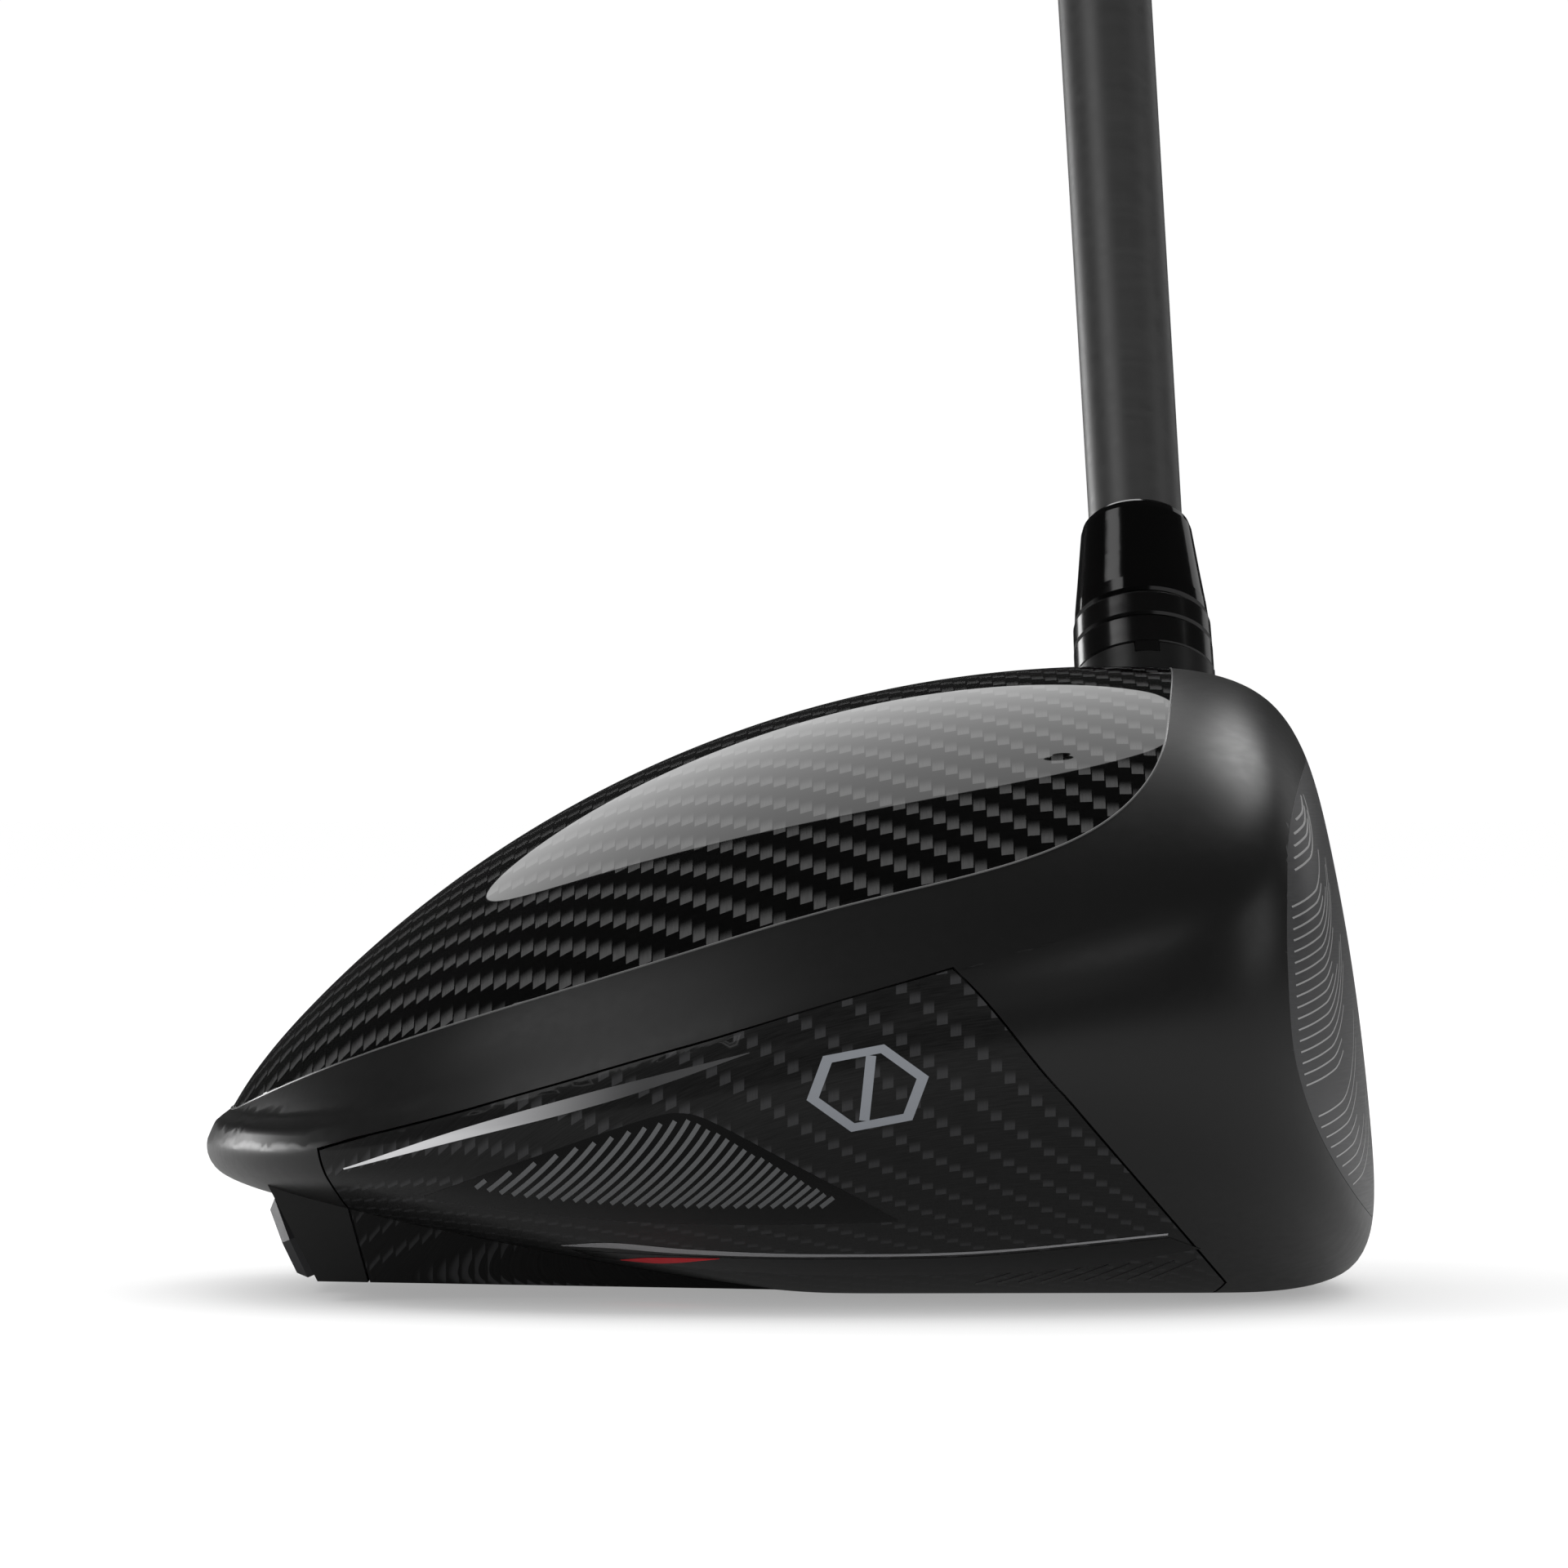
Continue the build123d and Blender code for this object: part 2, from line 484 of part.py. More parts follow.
ferrule_base = COLLAR_TOP + 0.15
ferrule = turned([
    (SHAFT_TIP_RADIUS + 0.05, ferrule_base), (6.45, ferrule_base), (6.72, ferrule_base + 0.3),
    (6.6, 76.5), (6.2, 80.0), (5.72, 84.5), (5.6, 85.6), (5.4, 86.3), (5.05, FERRULE_TOP),
    (SHAFT_FERRULE_RADIUS + 0.03, FERRULE_TOP), (SHAFT_TIP_RADIUS + 0.05, COLLAR_TOP + 1.0),
])
stations = [SHAFT_TIP + 0.1, COLLAR_TOP + 1.0, FERRULE_TOP, SHAFT_BUTT]
wall_outside = [(shaft_radius(s), s) for s in stations]
wall_inside = [(shaft_radius(s) - SHAFT_WALL, s) for s in reversed(stations)]
shaft = turned(wall_outside + wall_inside)
tip_inside = SHAFT_TIP_RADIUS - SHAFT_WALL
tip_weight = rod(tip_inside - 0.05, SHAFT_TIP + 0.02, SHAFT_TIP + 14.0)
tip_weight = tip_weight + rod(SHAFT_TIP_RADIUS - 0.1, SHAFT_TIP + 0.01, SHAFT_TIP + 0.08)
tip_plug = rod(tip_inside - 0.05, SHAFT_TIP + 14.5, SHAFT_TIP + 24.0)

# ---- Grip ------------------------------------------------------------------------------------
tape_low = GRIP_MOUTH + 4.0
grip_tape = turned([
    (shaft_radius(tape_low) + 0.02, tape_low), (shaft_radius(tape_low) + TAPE_THICKNESS, tape_low),
    (SHAFT_BUTT_RADIUS + TAPE_THICKNESS, SHAFT_BUTT - 0.5), (SHAFT_BUTT_RADIUS + 0.02, SHAFT_BUTT - 0.5),
])
sleeve_inside = TAPE_THICKNESS + 0.05
cap_line = SHAFT_BUTT - 6.0
grip = turned([
    (shaft_radius(GRIP_MOUTH) + sleeve_inside, GRIP_MOUTH), (GRIP_MOUTH_RADIUS - 0.8, GRIP_MOUTH),
    (GRIP_MOUTH_RADIUS, GRIP_MOUTH + 1.2), (GRIP_BUTT_RADIUS - 0.6, cap_line - 45.0),
    (GRIP_BUTT_RADIUS, cap_line), (SHAFT_BUTT_RADIUS + sleeve_inside, cap_line),
])
grip_cap = turned([
    (VENT_RADIUS, SHAFT_BUTT + 0.1), (SHAFT_BUTT_RADIUS + sleeve_inside, SHAFT_BUTT + 0.1),
    (SHAFT_BUTT_RADIUS + sleeve_inside, cap_line + 0.1), (GRIP_BUTT_RADIUS, cap_line + 0.1),
    (GRIP_BUTT_RADIUS + 0.6, SHAFT_BUTT - 2.5), (GRIP_BUTT_RADIUS + 0.3, SHAFT_BUTT - 0.5),
    (GRIP_BUTT_RADIUS - 1.2, SHAFT_BUTT + 1.4), (GRIP_BUTT_RADIUS - 5.0, CLUB_LENGTH),
    (VENT_RADIUS, CLUB_LENGTH),
])

parts = {
    "head_casting": casting,
    "face_plate": face_plate,
    "crown_panel": crown_panel,
    "sole_panel_toe": sole_panel_toe,
    "sole_panel_heel": sole_panel_heel,
    "rear_weight": on_rear(rear_weight),
    "rear_weight_screw": on_rear(rear_weight_screw),
    "hosel_bolt": on_hosel(hosel_bolt),
    "hosel_washer": on_hosel(hosel_washer),
    "bolt_retainer": on_hosel(bolt_retainer),
    "index_ring": on_hosel(index_ring),
    "adapter_sleeve": adapter_sleeve,
    "thread_insert": on_hosel(thread_insert),
    "ferrule": on_shaft(ferrule),
    "shaft": on_shaft(shaft),
    "tip_weight": on_shaft(tip_weight),
    "tip_plug": on_shaft(tip_plug),
    "grip_tape": on_shaft(grip_tape),
    "grip": on_shaft(grip),
    "grip_cap": on_shaft(grip_cap),
}
for name, shape in parts.items():
    export_step(shape, f"parts/{name}.step")
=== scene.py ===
import json
import math
import bpy
import numpy as np
from mathutils import Matrix, Vector

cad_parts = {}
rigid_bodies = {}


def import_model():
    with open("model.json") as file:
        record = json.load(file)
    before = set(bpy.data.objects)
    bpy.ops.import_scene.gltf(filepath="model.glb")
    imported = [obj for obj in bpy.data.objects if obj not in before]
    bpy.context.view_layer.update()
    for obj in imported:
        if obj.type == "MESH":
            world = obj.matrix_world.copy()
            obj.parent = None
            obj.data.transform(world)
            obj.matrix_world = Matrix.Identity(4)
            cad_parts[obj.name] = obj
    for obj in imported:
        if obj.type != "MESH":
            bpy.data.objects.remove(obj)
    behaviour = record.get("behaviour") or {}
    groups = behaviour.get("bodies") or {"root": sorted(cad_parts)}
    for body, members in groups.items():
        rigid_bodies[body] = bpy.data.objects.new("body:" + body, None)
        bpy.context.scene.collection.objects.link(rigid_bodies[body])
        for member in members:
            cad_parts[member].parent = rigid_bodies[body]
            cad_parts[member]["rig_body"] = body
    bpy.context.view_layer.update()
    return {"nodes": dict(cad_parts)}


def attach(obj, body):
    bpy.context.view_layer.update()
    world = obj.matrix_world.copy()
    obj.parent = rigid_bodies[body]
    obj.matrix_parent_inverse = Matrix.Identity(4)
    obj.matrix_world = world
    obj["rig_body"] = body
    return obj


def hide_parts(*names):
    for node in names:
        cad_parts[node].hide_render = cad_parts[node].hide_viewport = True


# Looks of a golf driver. Shapes are worked out in millimetres and placed in metres.
# +X is the target, -Y the toe, +Z up, and the sole rests on Z = 0.
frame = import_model()
MM = 0.001

# ---- Head surface: the same envelope as the CAD ------------------------------------
MIDDLE_X, MIDDLE_Y = -9.7, -1.0
REAR_REACH, FRONT_REACH, HALF_LENGTH = 58.9, 57.0, 63.0
CROWN_RADIUS, CROWN_CROSS_RADIUS = 105.0, 80.0
CROWN_TOP_X, CROWN_TOP_Z = 16.3, 58.6
FACE_X, FACE_HEIGHT = 38.7, 30.0
LOFT_DEG, ROLL_RADIUS, BULGE_RADIUS = 9.65, 350.0, 305.0
EQUATOR_TAIL_Z, EQUATOR_SLOPE, EQUATOR_BEND_X = 14.3, 0.298, -55.0
SOLE_RISE_X, SOLE_RISE_SLOPE, REST_FLAT_DEPTH = -12.0, 0.08, 0.25
SKIRT_LEAN = 0.0085
TAIL_FULLNESS = 0.85
CROWN_REAR, CROWN_SIDE, CROWN_HEEL_SIDE, CROWN_FRONT_X = 56.9, 50.3, 47.5, 21.9
FACE_PLATE_Y, FACE_PLATE_Z = -4.0, 28.5
FACE_PLATE_HALF_LENGTH, FACE_PLATE_HALF_HEIGHT = 46.5, 21.5

# ---- Hosel and shaft ----------------------------------------------------------------
HOSEL_X, HOSEL_Y = 23.4, 18.3
LIE_DEG, BACK_LEAN_DEG = 58.0, 2.0
HOSEL_RADIUS, HOSEL_FILLET, HOSEL_ROOT = 7.0, 9.0, 45.0
SHAFT_TILT_DEG, SHAFT_TILT_STATION = 1.0, 70.0
SHAFT_TIP, SHAFT_TIP_RADIUS = 48.5, 4.25
COLLAR_TOP, FERRULE_TOP, SHAFT_FERRULE_RADIUS = 74.6, 86.7, 4.7
SHAFT_BUTT, SHAFT_BUTT_RADIUS, SHAFT_WALL = 1153.0, 7.6, 1.2
GRIP_MOUTH, GRIP_MOUTH_RADIUS, GRIP_BUTT_RADIUS = 889.0, 9.8, 14.2
CAP_LINE = SHAFT_BUTT - 6.0
TAPE_THICKNESS = 0.25


def rounded_max(first, second, reach):
    overlap = np.maximum(reach - np.abs(first - second), 0.0) / reach
    return np.maximum(first, second) + overlap**3 * reach / 6.0


def soft_ramp(value, softness):
    return softness * np.log1p(np.exp(np.clip(value / softness, -40.0, 40.0)))


def smooth_step(value, low, high):
    share = np.clip((value - low) / (high - low), 0.0, 1.0)
    return share * share * (3.0 - 2.0 * share)


def equator_height(x):
    return EQUATOR_TAIL_Z + EQUATOR_SLOPE * soft_ramp(x - EQUATOR_BEND_X, 4.0)


def crown_distance(x, y, z):
    drop = CROWN_CROSS_RADIUS - np.sqrt(np.maximum(CROWN_CROSS_RADIUS**2 - y * y, 1.0))
    centre_z = CROWN_TOP_Z - CROWN_RADIUS
    return np.hypot(x - CROWN_TOP_X, z - centre_z + drop) - CROWN_RADIUS


def side_distance(x, y, z):
    height = equator_height(x)
    sole = SOLE_RISE_SLOPE * soft_ramp(SOLE_RISE_X - x, 2.0) - REST_FLAT_DEPTH
    back = np.maximum(MIDDLE_X - x, 0.0) / REAR_REACH
    side = np.abs(y - MIDDLE_Y) / HALF_LENGTH
    below = (height - z) / (height - sole)
    bowl = np.where(below > 0, below * below, SKIRT_LEAN * (z - height))
    slope_x = 2.1 * back**1.1 / REAR_REACH
    slope_y = 2.2 * side**1.2 / HALF_LENGTH
    slope_z = np.where(below > 0, 2.0 * below / (height - sole), SKIRT_LEAN)
    slope = np.sqrt(slope_x**2 + slope_y**2 + slope_z**2)
    return (back**2.1 + side**2.2 + bowl - 1.0) / np.maximum(slope, 0.012)


def front_corner_distance(x, y):
    ahead = np.maximum(x - MIDDLE_X, 0.0) / FRONT_REACH
    side = np.abs(y - MIDDLE_Y) / HALF_LENGTH
    slope = 2.6 * np.hypot(ahead**1.6 / FRONT_REACH, side**1.6 / HALF_LENGTH)
    return (ahead**2.6 + side**2.6 - 1.0) / np.maximum(slope, 0.015)


def face_distance(x, y, z):
    up = z - FACE_HEIGHT
    lean = up * math.tan(math.radians(LOFT_DEG))
    curve = up * up / (2.0 * ROLL_RADIUS) + y * y / (2.0 * BULGE_RADIUS)
    return (x - FACE_X + lean + curve) * math.cos(math.radians(LOFT_DEG))


def head_field(x, y, z):
    skirt_round = 6.0 + 14.0 * smooth_step(x, -68.0, -20.0)
    face_round = 18.0 - 4.0 * smooth_step(z, 8.0, 40.0)
    field = rounded_max(side_distance(x, y, z), crown_distance(x, y, z), skirt_round)
    field = rounded_max(field, front_corner_distance(x, y), 12.0)
    return rounded_max(field, face_distance(x, y, z), face_round)


axis_y = math.cos(math.radians(LIE_DEG))
axis_z = math.sin(math.radians(LIE_DEG))
HOSEL_ORIGIN = np.array([HOSEL_X, HOSEL_Y, 0.0])
HOSEL_AXIS = np.array([-axis_z * math.tan(math.radians(BACK_LEAN_DEG)), axis_y, axis_z])
HOSEL_AXIS = HOSEL_AXIS / np.linalg.norm(HOSEL_AXIS)


def hosel_place(x, y, z):
    """Height along the hosel axis and distance from it."""
    offset = np.stack([x - HOSEL_X, y - HOSEL_Y, z], -1)
    along = offset @ HOSEL_AXIS
    return along, np.linalg.norm(offset - along[..., None] * HOSEL_AXIS, axis=-1)


def tail_fullness(x, z):
    """How far the rounded tail bulges out under the crown's edge and over the rear weight."""
    height = z - equator_height(x)
    tail = 1.0 - smooth_step(x, -64.0, -42.0)
    lip = smooth_step(height, -7.0, -2.5) * (1.0 - smooth_step(height, 1.4, 3.0))
    return TAIL_FULLNESS * tail * lip


def with_hosel(head, x, y, z):
    """The head with the hosel growing out of it through a fillet, cut flat where it rests."""
    along, reach = hosel_place(x, y, z)
    tube = np.maximum(reach - HOSEL_RADIUS, HOSEL_ROOT - along)
    return np.maximum(-rounded_max(-head, -tube, HOSEL_FILLET), -z)


def cad_field_at(points):
    x, y, z = points.T
    return with_hosel(head_field(x, y, z), x, y, z)


def crown_edge_distance(x, y):
    """Distance in plan from the crown panel's edge, below zero within the panel."""
    back = np.maximum(MIDDLE_X - x, 0.0) / CROWN_REAR
    side = np.abs(y - MIDDLE_Y) / np.where(y < MIDDLE_Y, CROWN_SIDE, CROWN_HEEL_SIDE)
    slope = np.hypot(2.4 * back**1.4 / CROWN_REAR, 2.2 * side**1.2 / CROWN_SIDE)
    edge = (back**2.4 + side**2.2 - 1.0) / np.maximum(slope, 0.015)
    front = x - CROWN_FRONT_X + y * y / np.where(y < 0, 650.0, 350.0)
    return rounded_max(edge, front, 30.0)


def field_at(points):
    x, y, z = points.T
    return with_hosel(head_field(x, y, z) - tail_fullness(x, z), x, y, z)


def gradient_at(points, step=0.02):
    slopes = []
    for axis in range(3):
        shift = np.zeros(3)
        shift[axis] = step
        slopes.append((field_at(points + shift) - field_at(points - shift)) / (2.0 * step))
    return np.stack(slopes, 1)


def unit(vectors):
    return vectors / np.maximum(np.linalg.norm(vectors, axis=1, keepdims=True), 1e-9)


def onto_skin(points, level=0.0, rounds=4):
    for _ in range(rounds):
        slope = gradient_at(points)
        size = np.maximum((slope**2).sum(1), 1e-6)
        points = points - ((field_at(points) - level) / size)[:, None] * slope
    return points


# ---- Meshes -----------------------------------------------------------------------------
WEAVE = "weave"
CREASE_DEG = 32.0

# The CAD head ends in small flats at the toe's and heel's tips, which are rounded off here.
TOE_FLAT, HEEL_FLAT = -58.12, 57.09
# How far the CAD's skin may stand from the exact surface: by the hosel and heel, and elsewhere.
LOOSE_FIT, CLOSE_FIT = 2.2, 0.5


def new_piece(name, points, faces, material, normals=None, weave=None):
    """A mesh object from points in millimetres.

    normals holds one per face corner, with zeros where the creases decide. weave holds one (u, v)
    pair per point.
    """
    mesh = bpy.data.meshes.new(name)
    mesh.from_pydata((np.asarray(points) * MM).tolist(), [], [list(map(int, f)) for f in faces])
    mesh.shade_smooth()
    mesh.set_sharp_from_angle(angle=math.radians(CREASE_DEG))
    corners = np.empty(len(mesh.loops), dtype=np.int64)
    mesh.loops.foreach_get("vertex_index", corners)
    if weave is not None:
        layer = mesh.uv_layers.new(name=WEAVE)
        layer.data.foreach_set("uv", np.asarray(weave)[corners].astype(np.float32).ravel())
    if normals is not None:
        worked_out = np.empty(len(mesh.loops) * 3, dtype=np.float32)
        mesh.corner_normals.foreach_get("vector", worked_out)
        worked_out = worked_out.reshape(-1, 3)
        given = np.linalg.norm(normals, axis=1) > 0.5
        worked_out[given] = normals[given]
        mesh.normals_split_custom_set(worked_out.tolist())
    mesh.materials.append(material)
    piece = bpy.data.objects.new(name, mesh)
    bpy.context.scene.collection.objects.link(piece)
    return piece


def cad_triangles(node):
    """Points in millimetres and triangles of a CAD node, with its seams welded."""
    mesh = frame["nodes"][node].data
    points = np.empty(len(mesh.vertices) * 3)
    mesh.vertices.foreach_get("co", points)
    corners = np.empty(len(mesh.loops), dtype=np.int64)
    mesh.loops.foreach_get("vertex_index", corners)
    points = points.reshape(-1, 3) / MM
    _, first, welded = np.unique(np.round(points, 3), axis=0, return_index=True, return_inverse=True)
    triangles = welded.ravel()[corners].reshape(-1, 3)
    whole = (triangles[:, 0] != triangles[:, 1]) & (triangles[:, 1] != triangles[:, 2])
    whole &= triangles[:, 0] != triangles[:, 2]
    return points[first], triangles[whole]


def triangle_normals(points, triangles):
    a, b, c = (points[triangles[:, i]] for i in range(3))
    return unit(np.cross(b - a, c - a))


def skin_triangles(points, triangles, has_ledge):
    """Which triangles lie on the outside of the head, and not on the ledge under the crown panel."""
    along, reach = hosel_place(*points.T)
    near_hosel = (along > HOSEL_ROOT - 5.0) & (reach < HOSEL_RADIUS + 1.7 * HOSEL_FILLET)
    if has_ledge:
        near_hosel &= crown_edge_distance(points[:, 0], points[:, 1]) > -0.05
    on_flats = np.minimum(np.abs(points[:, 1] - TOE_FLAT), np.abs(points[:, 1] - HEEL_FLAT)) < 0.05
    at_heel = (points[:, 0] > 7.0) & (points[:, 1] > 38.0)
    allowed = np.where(near_hosel | on_flats | at_heel, LOOSE_FIT, CLOSE_FIT)
    close = (np.abs(cad_field_at(points)) < allowed)[triangles].all(1)
    facing = (triangle_normals(points, triangles) * unit(gradient_at(points[triangles].mean(1)))).sum(1)
    sides = np.roll(points[triangles], -1, axis=1) - points[triangles]
    doubled_area = np.linalg.norm(np.cross(sides[:, 0], sides[:, 1]), axis=1)
    needle = doubled_area < 0.04 * np.linalg.norm(sides, axis=2).max(1)
    return close & ((facing > 0.7) | needle)


def split_long_edges(points, triangles, splittable, longest):
    """Halves every edge that is too long and may be split; neighbours share the new points."""
    edges = np.sort(np.stack([triangles, np.roll(triangles, -1, axis=1)], -1).reshape(-1, 2), axis=1)
    kinds, which = np.unique(edges, axis=0, return_inverse=True)
    which = which.reshape(-1, 3)
    length = np.linalg.norm(points[kinds[:, 0]] - points[kinds[:, 1]], axis=1)
    split = (length > longest) & splittable[kinds].all(1)
    middle = np.full(len(kinds), -1)
    middle[split] = len(points) + np.arange(split.sum())
    points = np.vstack([points, points[kinds[split]].mean(1)])
    splittable = np.append(splittable, np.ones(split.sum(), bool))
    mids = middle[which]
    count = (mids >= 0).sum(1)
    result = [triangles[count == 0]]
    for wanted in (1, 2):
        rows = triangles[count == wanted]
        marks = mids[count == wanted]
        # One split edge: that edge comes first. Two: the whole edge comes last.
        first = np.argmax(marks >= 0, axis=1) if wanted == 1 else (np.argmin(marks >= 0, axis=1) + 1) % 3
        turn = (first[:, None] + np.arange(3)) % 3
        a, b, c = np.take_along_axis(rows, turn, 1).T
        ab, bc, _ = np.take_along_axis(marks, turn, 1).T
        if wanted == 1:
            result += [np.stack([a, ab, c], 1), np.stack([ab, b, c], 1)]
        else:
            result += [np.stack([ab, b, bc], 1), np.stack([a, ab, bc], 1), np.stack([a, bc, c], 1)]
    a, b, c = triangles[count == 3].T
    ab, bc, ca = mids[count == 3].T
    result += [np.stack(t, 1) for t in ((a, ab, ca), (ab, b, bc), (ca, bc, c), (ab, bc, ca))]
    return points, np.vstack(result), splittable, bool(split.any())


def wrap_length(points):
    """Length round the head's cross-section from its top, rising from the toe over the top to the heel."""
    xs = np.linspace(-67.0, 40.0, 54)
    angles = np.linspace(-math.pi, math.pi, 241)
    grid_x, grid_a = np.meshgrid(xs, angles, indexing="ij")
    heights = equator_height(grid_x) - 1.0
    low, high = np.zeros_like(grid_x), np.full_like(grid_x, 90.0)
    for _ in range(26):
        middle = (low + high) / 2.0
        inside = head_field(grid_x, middle * np.sin(grid_a), heights + middle * np.cos(grid_a)) < 0.0
        low, high = np.where(inside, middle, low), np.where(inside, high, middle)
    step_a = np.diff(grid_a, axis=1)
    step = np.hypot(np.diff(low, axis=1), (low[:, 1:] + low[:, :-1]) / 2.0 * step_a)
    lengths = np.concatenate([np.zeros((len(xs), 1)), np.cumsum(step, 1)], 1)
    lengths -= lengths[:, [len(angles) // 2]]
    angle = np.arctan2(points[:, 1], points[:, 2] - equator_height(points[:, 0]) + 1.0)
    place_x = np.clip((points[:, 0] - xs[0]) / (xs[1] - xs[0]), 0, len(xs) - 1.001)
    place_a = np.clip((angle - angles[0]) / (angles[1] - angles[0]), 0, len(angles) - 1.001)
    ix, ia = place_x.astype(int), place_a.astype(int)
    fx, fa = place_x - ix, place_a - ia
    near = lengths[ix, ia] * (1 - fa) + lengths[ix, ia + 1] * fa
    far = lengths[ix + 1, ia] * (1 - fa) + lengths[ix + 1, ia + 1] * fa
    return near * (1 - fx) + far * fx


def skinned(node, material, longest, tow=1.2):
    """Stands for a CAD node: its outside is divided finely and laid exactly on the head's surface."""
    points, triangles = cad_triangles(node)
    has_ledge = node == "head_casting"
    outside = skin_triangles(points, triangles, has_ledge)
    splittable = np.zeros(len(points), bool)
    splittable[triangles[outside].ravel()] = True
    for _ in range(8):
        points, triangles, splittable, changed = split_long_edges(points, triangles, splittable, longest)
        if not changed:
            break
    outside = skin_triangles(points, triangles, has_ledge)
    moved = np.unique(triangles[outside])
    points[moved] = onto_skin(points[moved])
    normals = np.zeros((len(triangles) * 3, 3))
    corners = triangles.ravel()
    on_outside = np.repeat(outside, 3)
    normals[on_outside] = unit(gradient_at(points))[corners[on_outside]]
    weave = np.stack([points[:, 0], wrap_length(points)], 1) / tow
    piece = new_piece(node + "_skin", points, triangles, material, normals, weave)
    body = frame["nodes"][node]["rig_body"]
    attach(piece, body)
    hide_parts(node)
    return piece


# ---- Material helpers -------------------------------------------------------------------
class Shader:
    """A material's node tree, built by short calls."""

    def __init__(self, name, colour, roughness, metallic=0.0, specular=0.5, coat=0.0, coat_roughness=0.03):
        self.material = bpy.data.materials.new(name)
        self.material.use_nodes = True
        self.tree = self.material.node_tree
        self.surface = self.tree.nodes["Principled BSDF"]
        self.set(self.surface, "Base Color", (*colour, 1.0))
        self.set(self.surface, "Roughness", roughness)
        self.set(self.surface, "Metallic", metallic)
        self.set(self.surface, "Specular IOR Level", specular)
        self.set(self.surface, "Coat Weight", coat)
        self.set(self.surface, "Coat Roughness", coat_roughness)

    def set(self, node, socket, value):
        """A socket takes a plain value or another node's output."""
        if isinstance(value, bpy.types.NodeSocket):
            self.tree.links.new(value, node.inputs[socket])
        else:
            node.inputs[socket].default_value = value

    def math(self, operation, first, second=0.0, third=0.0):
        node = self.tree.nodes.new("ShaderNodeMath")
        node.operation = operation
        for index, value in enumerate((first, second, third)):
            self.set(node, index, value)
        return node.outputs[0]

    def coordinates(self, which="Object"):
        return self.tree.nodes.new("ShaderNodeTexCoord").outputs[which]

    def parts(self, vector):
        node = self.tree.nodes.new("ShaderNodeSeparateXYZ")
        self.set(node, 0, vector)
        return node.outputs

    def weave_parts(self):
        node = self.tree.nodes.new("ShaderNodeUVMap")
        node.uv_map = WEAVE
        return self.parts(node.outputs[0])

    def stretched(self, vector, scale):
        node = self.tree.nodes.new("ShaderNodeMapping")
        self.set(node, "Vector", vector)
        self.set(node, "Scale", scale)
        return node.outputs[0]

    def noise(self, vector, scale, detail=3.0):
        node = self.tree.nodes.new("ShaderNodeTexNoise")
        self.set(node, "Vector", vector)
        self.set(node, "Scale", scale)
        self.set(node, "Detail", detail)
        return node.outputs["Fac"]

    def mix(self, share, first, second):
        node = self.tree.nodes.new("ShaderNodeMix")
        node.data_type = "RGBA"
        self.set(node, "Factor", share)
        for socket, value in ((6, first), (7, second)):
            self.set(node, socket, value if isinstance(value, bpy.types.NodeSocket) else (*value, 1.0))
        return node.outputs[2]

    def range(self, value, low, high):
        """Maps a 0 to 1 value to low to high."""
        return self.math("MULTIPLY_ADD", value, high - low, low)

    def bump(self, height, strength, distance):
        node = self.tree.nodes.new("ShaderNodeBump")
        self.set(node, "Height", height)
        self.set(node, "Strength", strength)
        self.set(node, "Distance", distance)
        self.set(self.surface, "Normal", node.outputs[0])
        return node.outputs[0]


def speckled(name, colour, other, roughness, grain=900.0, spread=0.05, bump=0.1, **finish):
    """Paint, metal or plastic with a fine grain in its colour, gloss and surface."""
    shader = Shader(name, colour, roughness, **finish)
    place = shader.coordinates()
    fine = shader.noise(place, grain)
    broad = shader.noise(place, grain / 30.0, 2.0)
    shader.set(shader.surface, "Base Color", shader.mix(broad, colour, other))
    shader.set(shader.surface, "Roughness", shader.range(fine, roughness - spread, roughness + spread))
    shader.bump(fine, bump, 0.00003)
    return shader.material


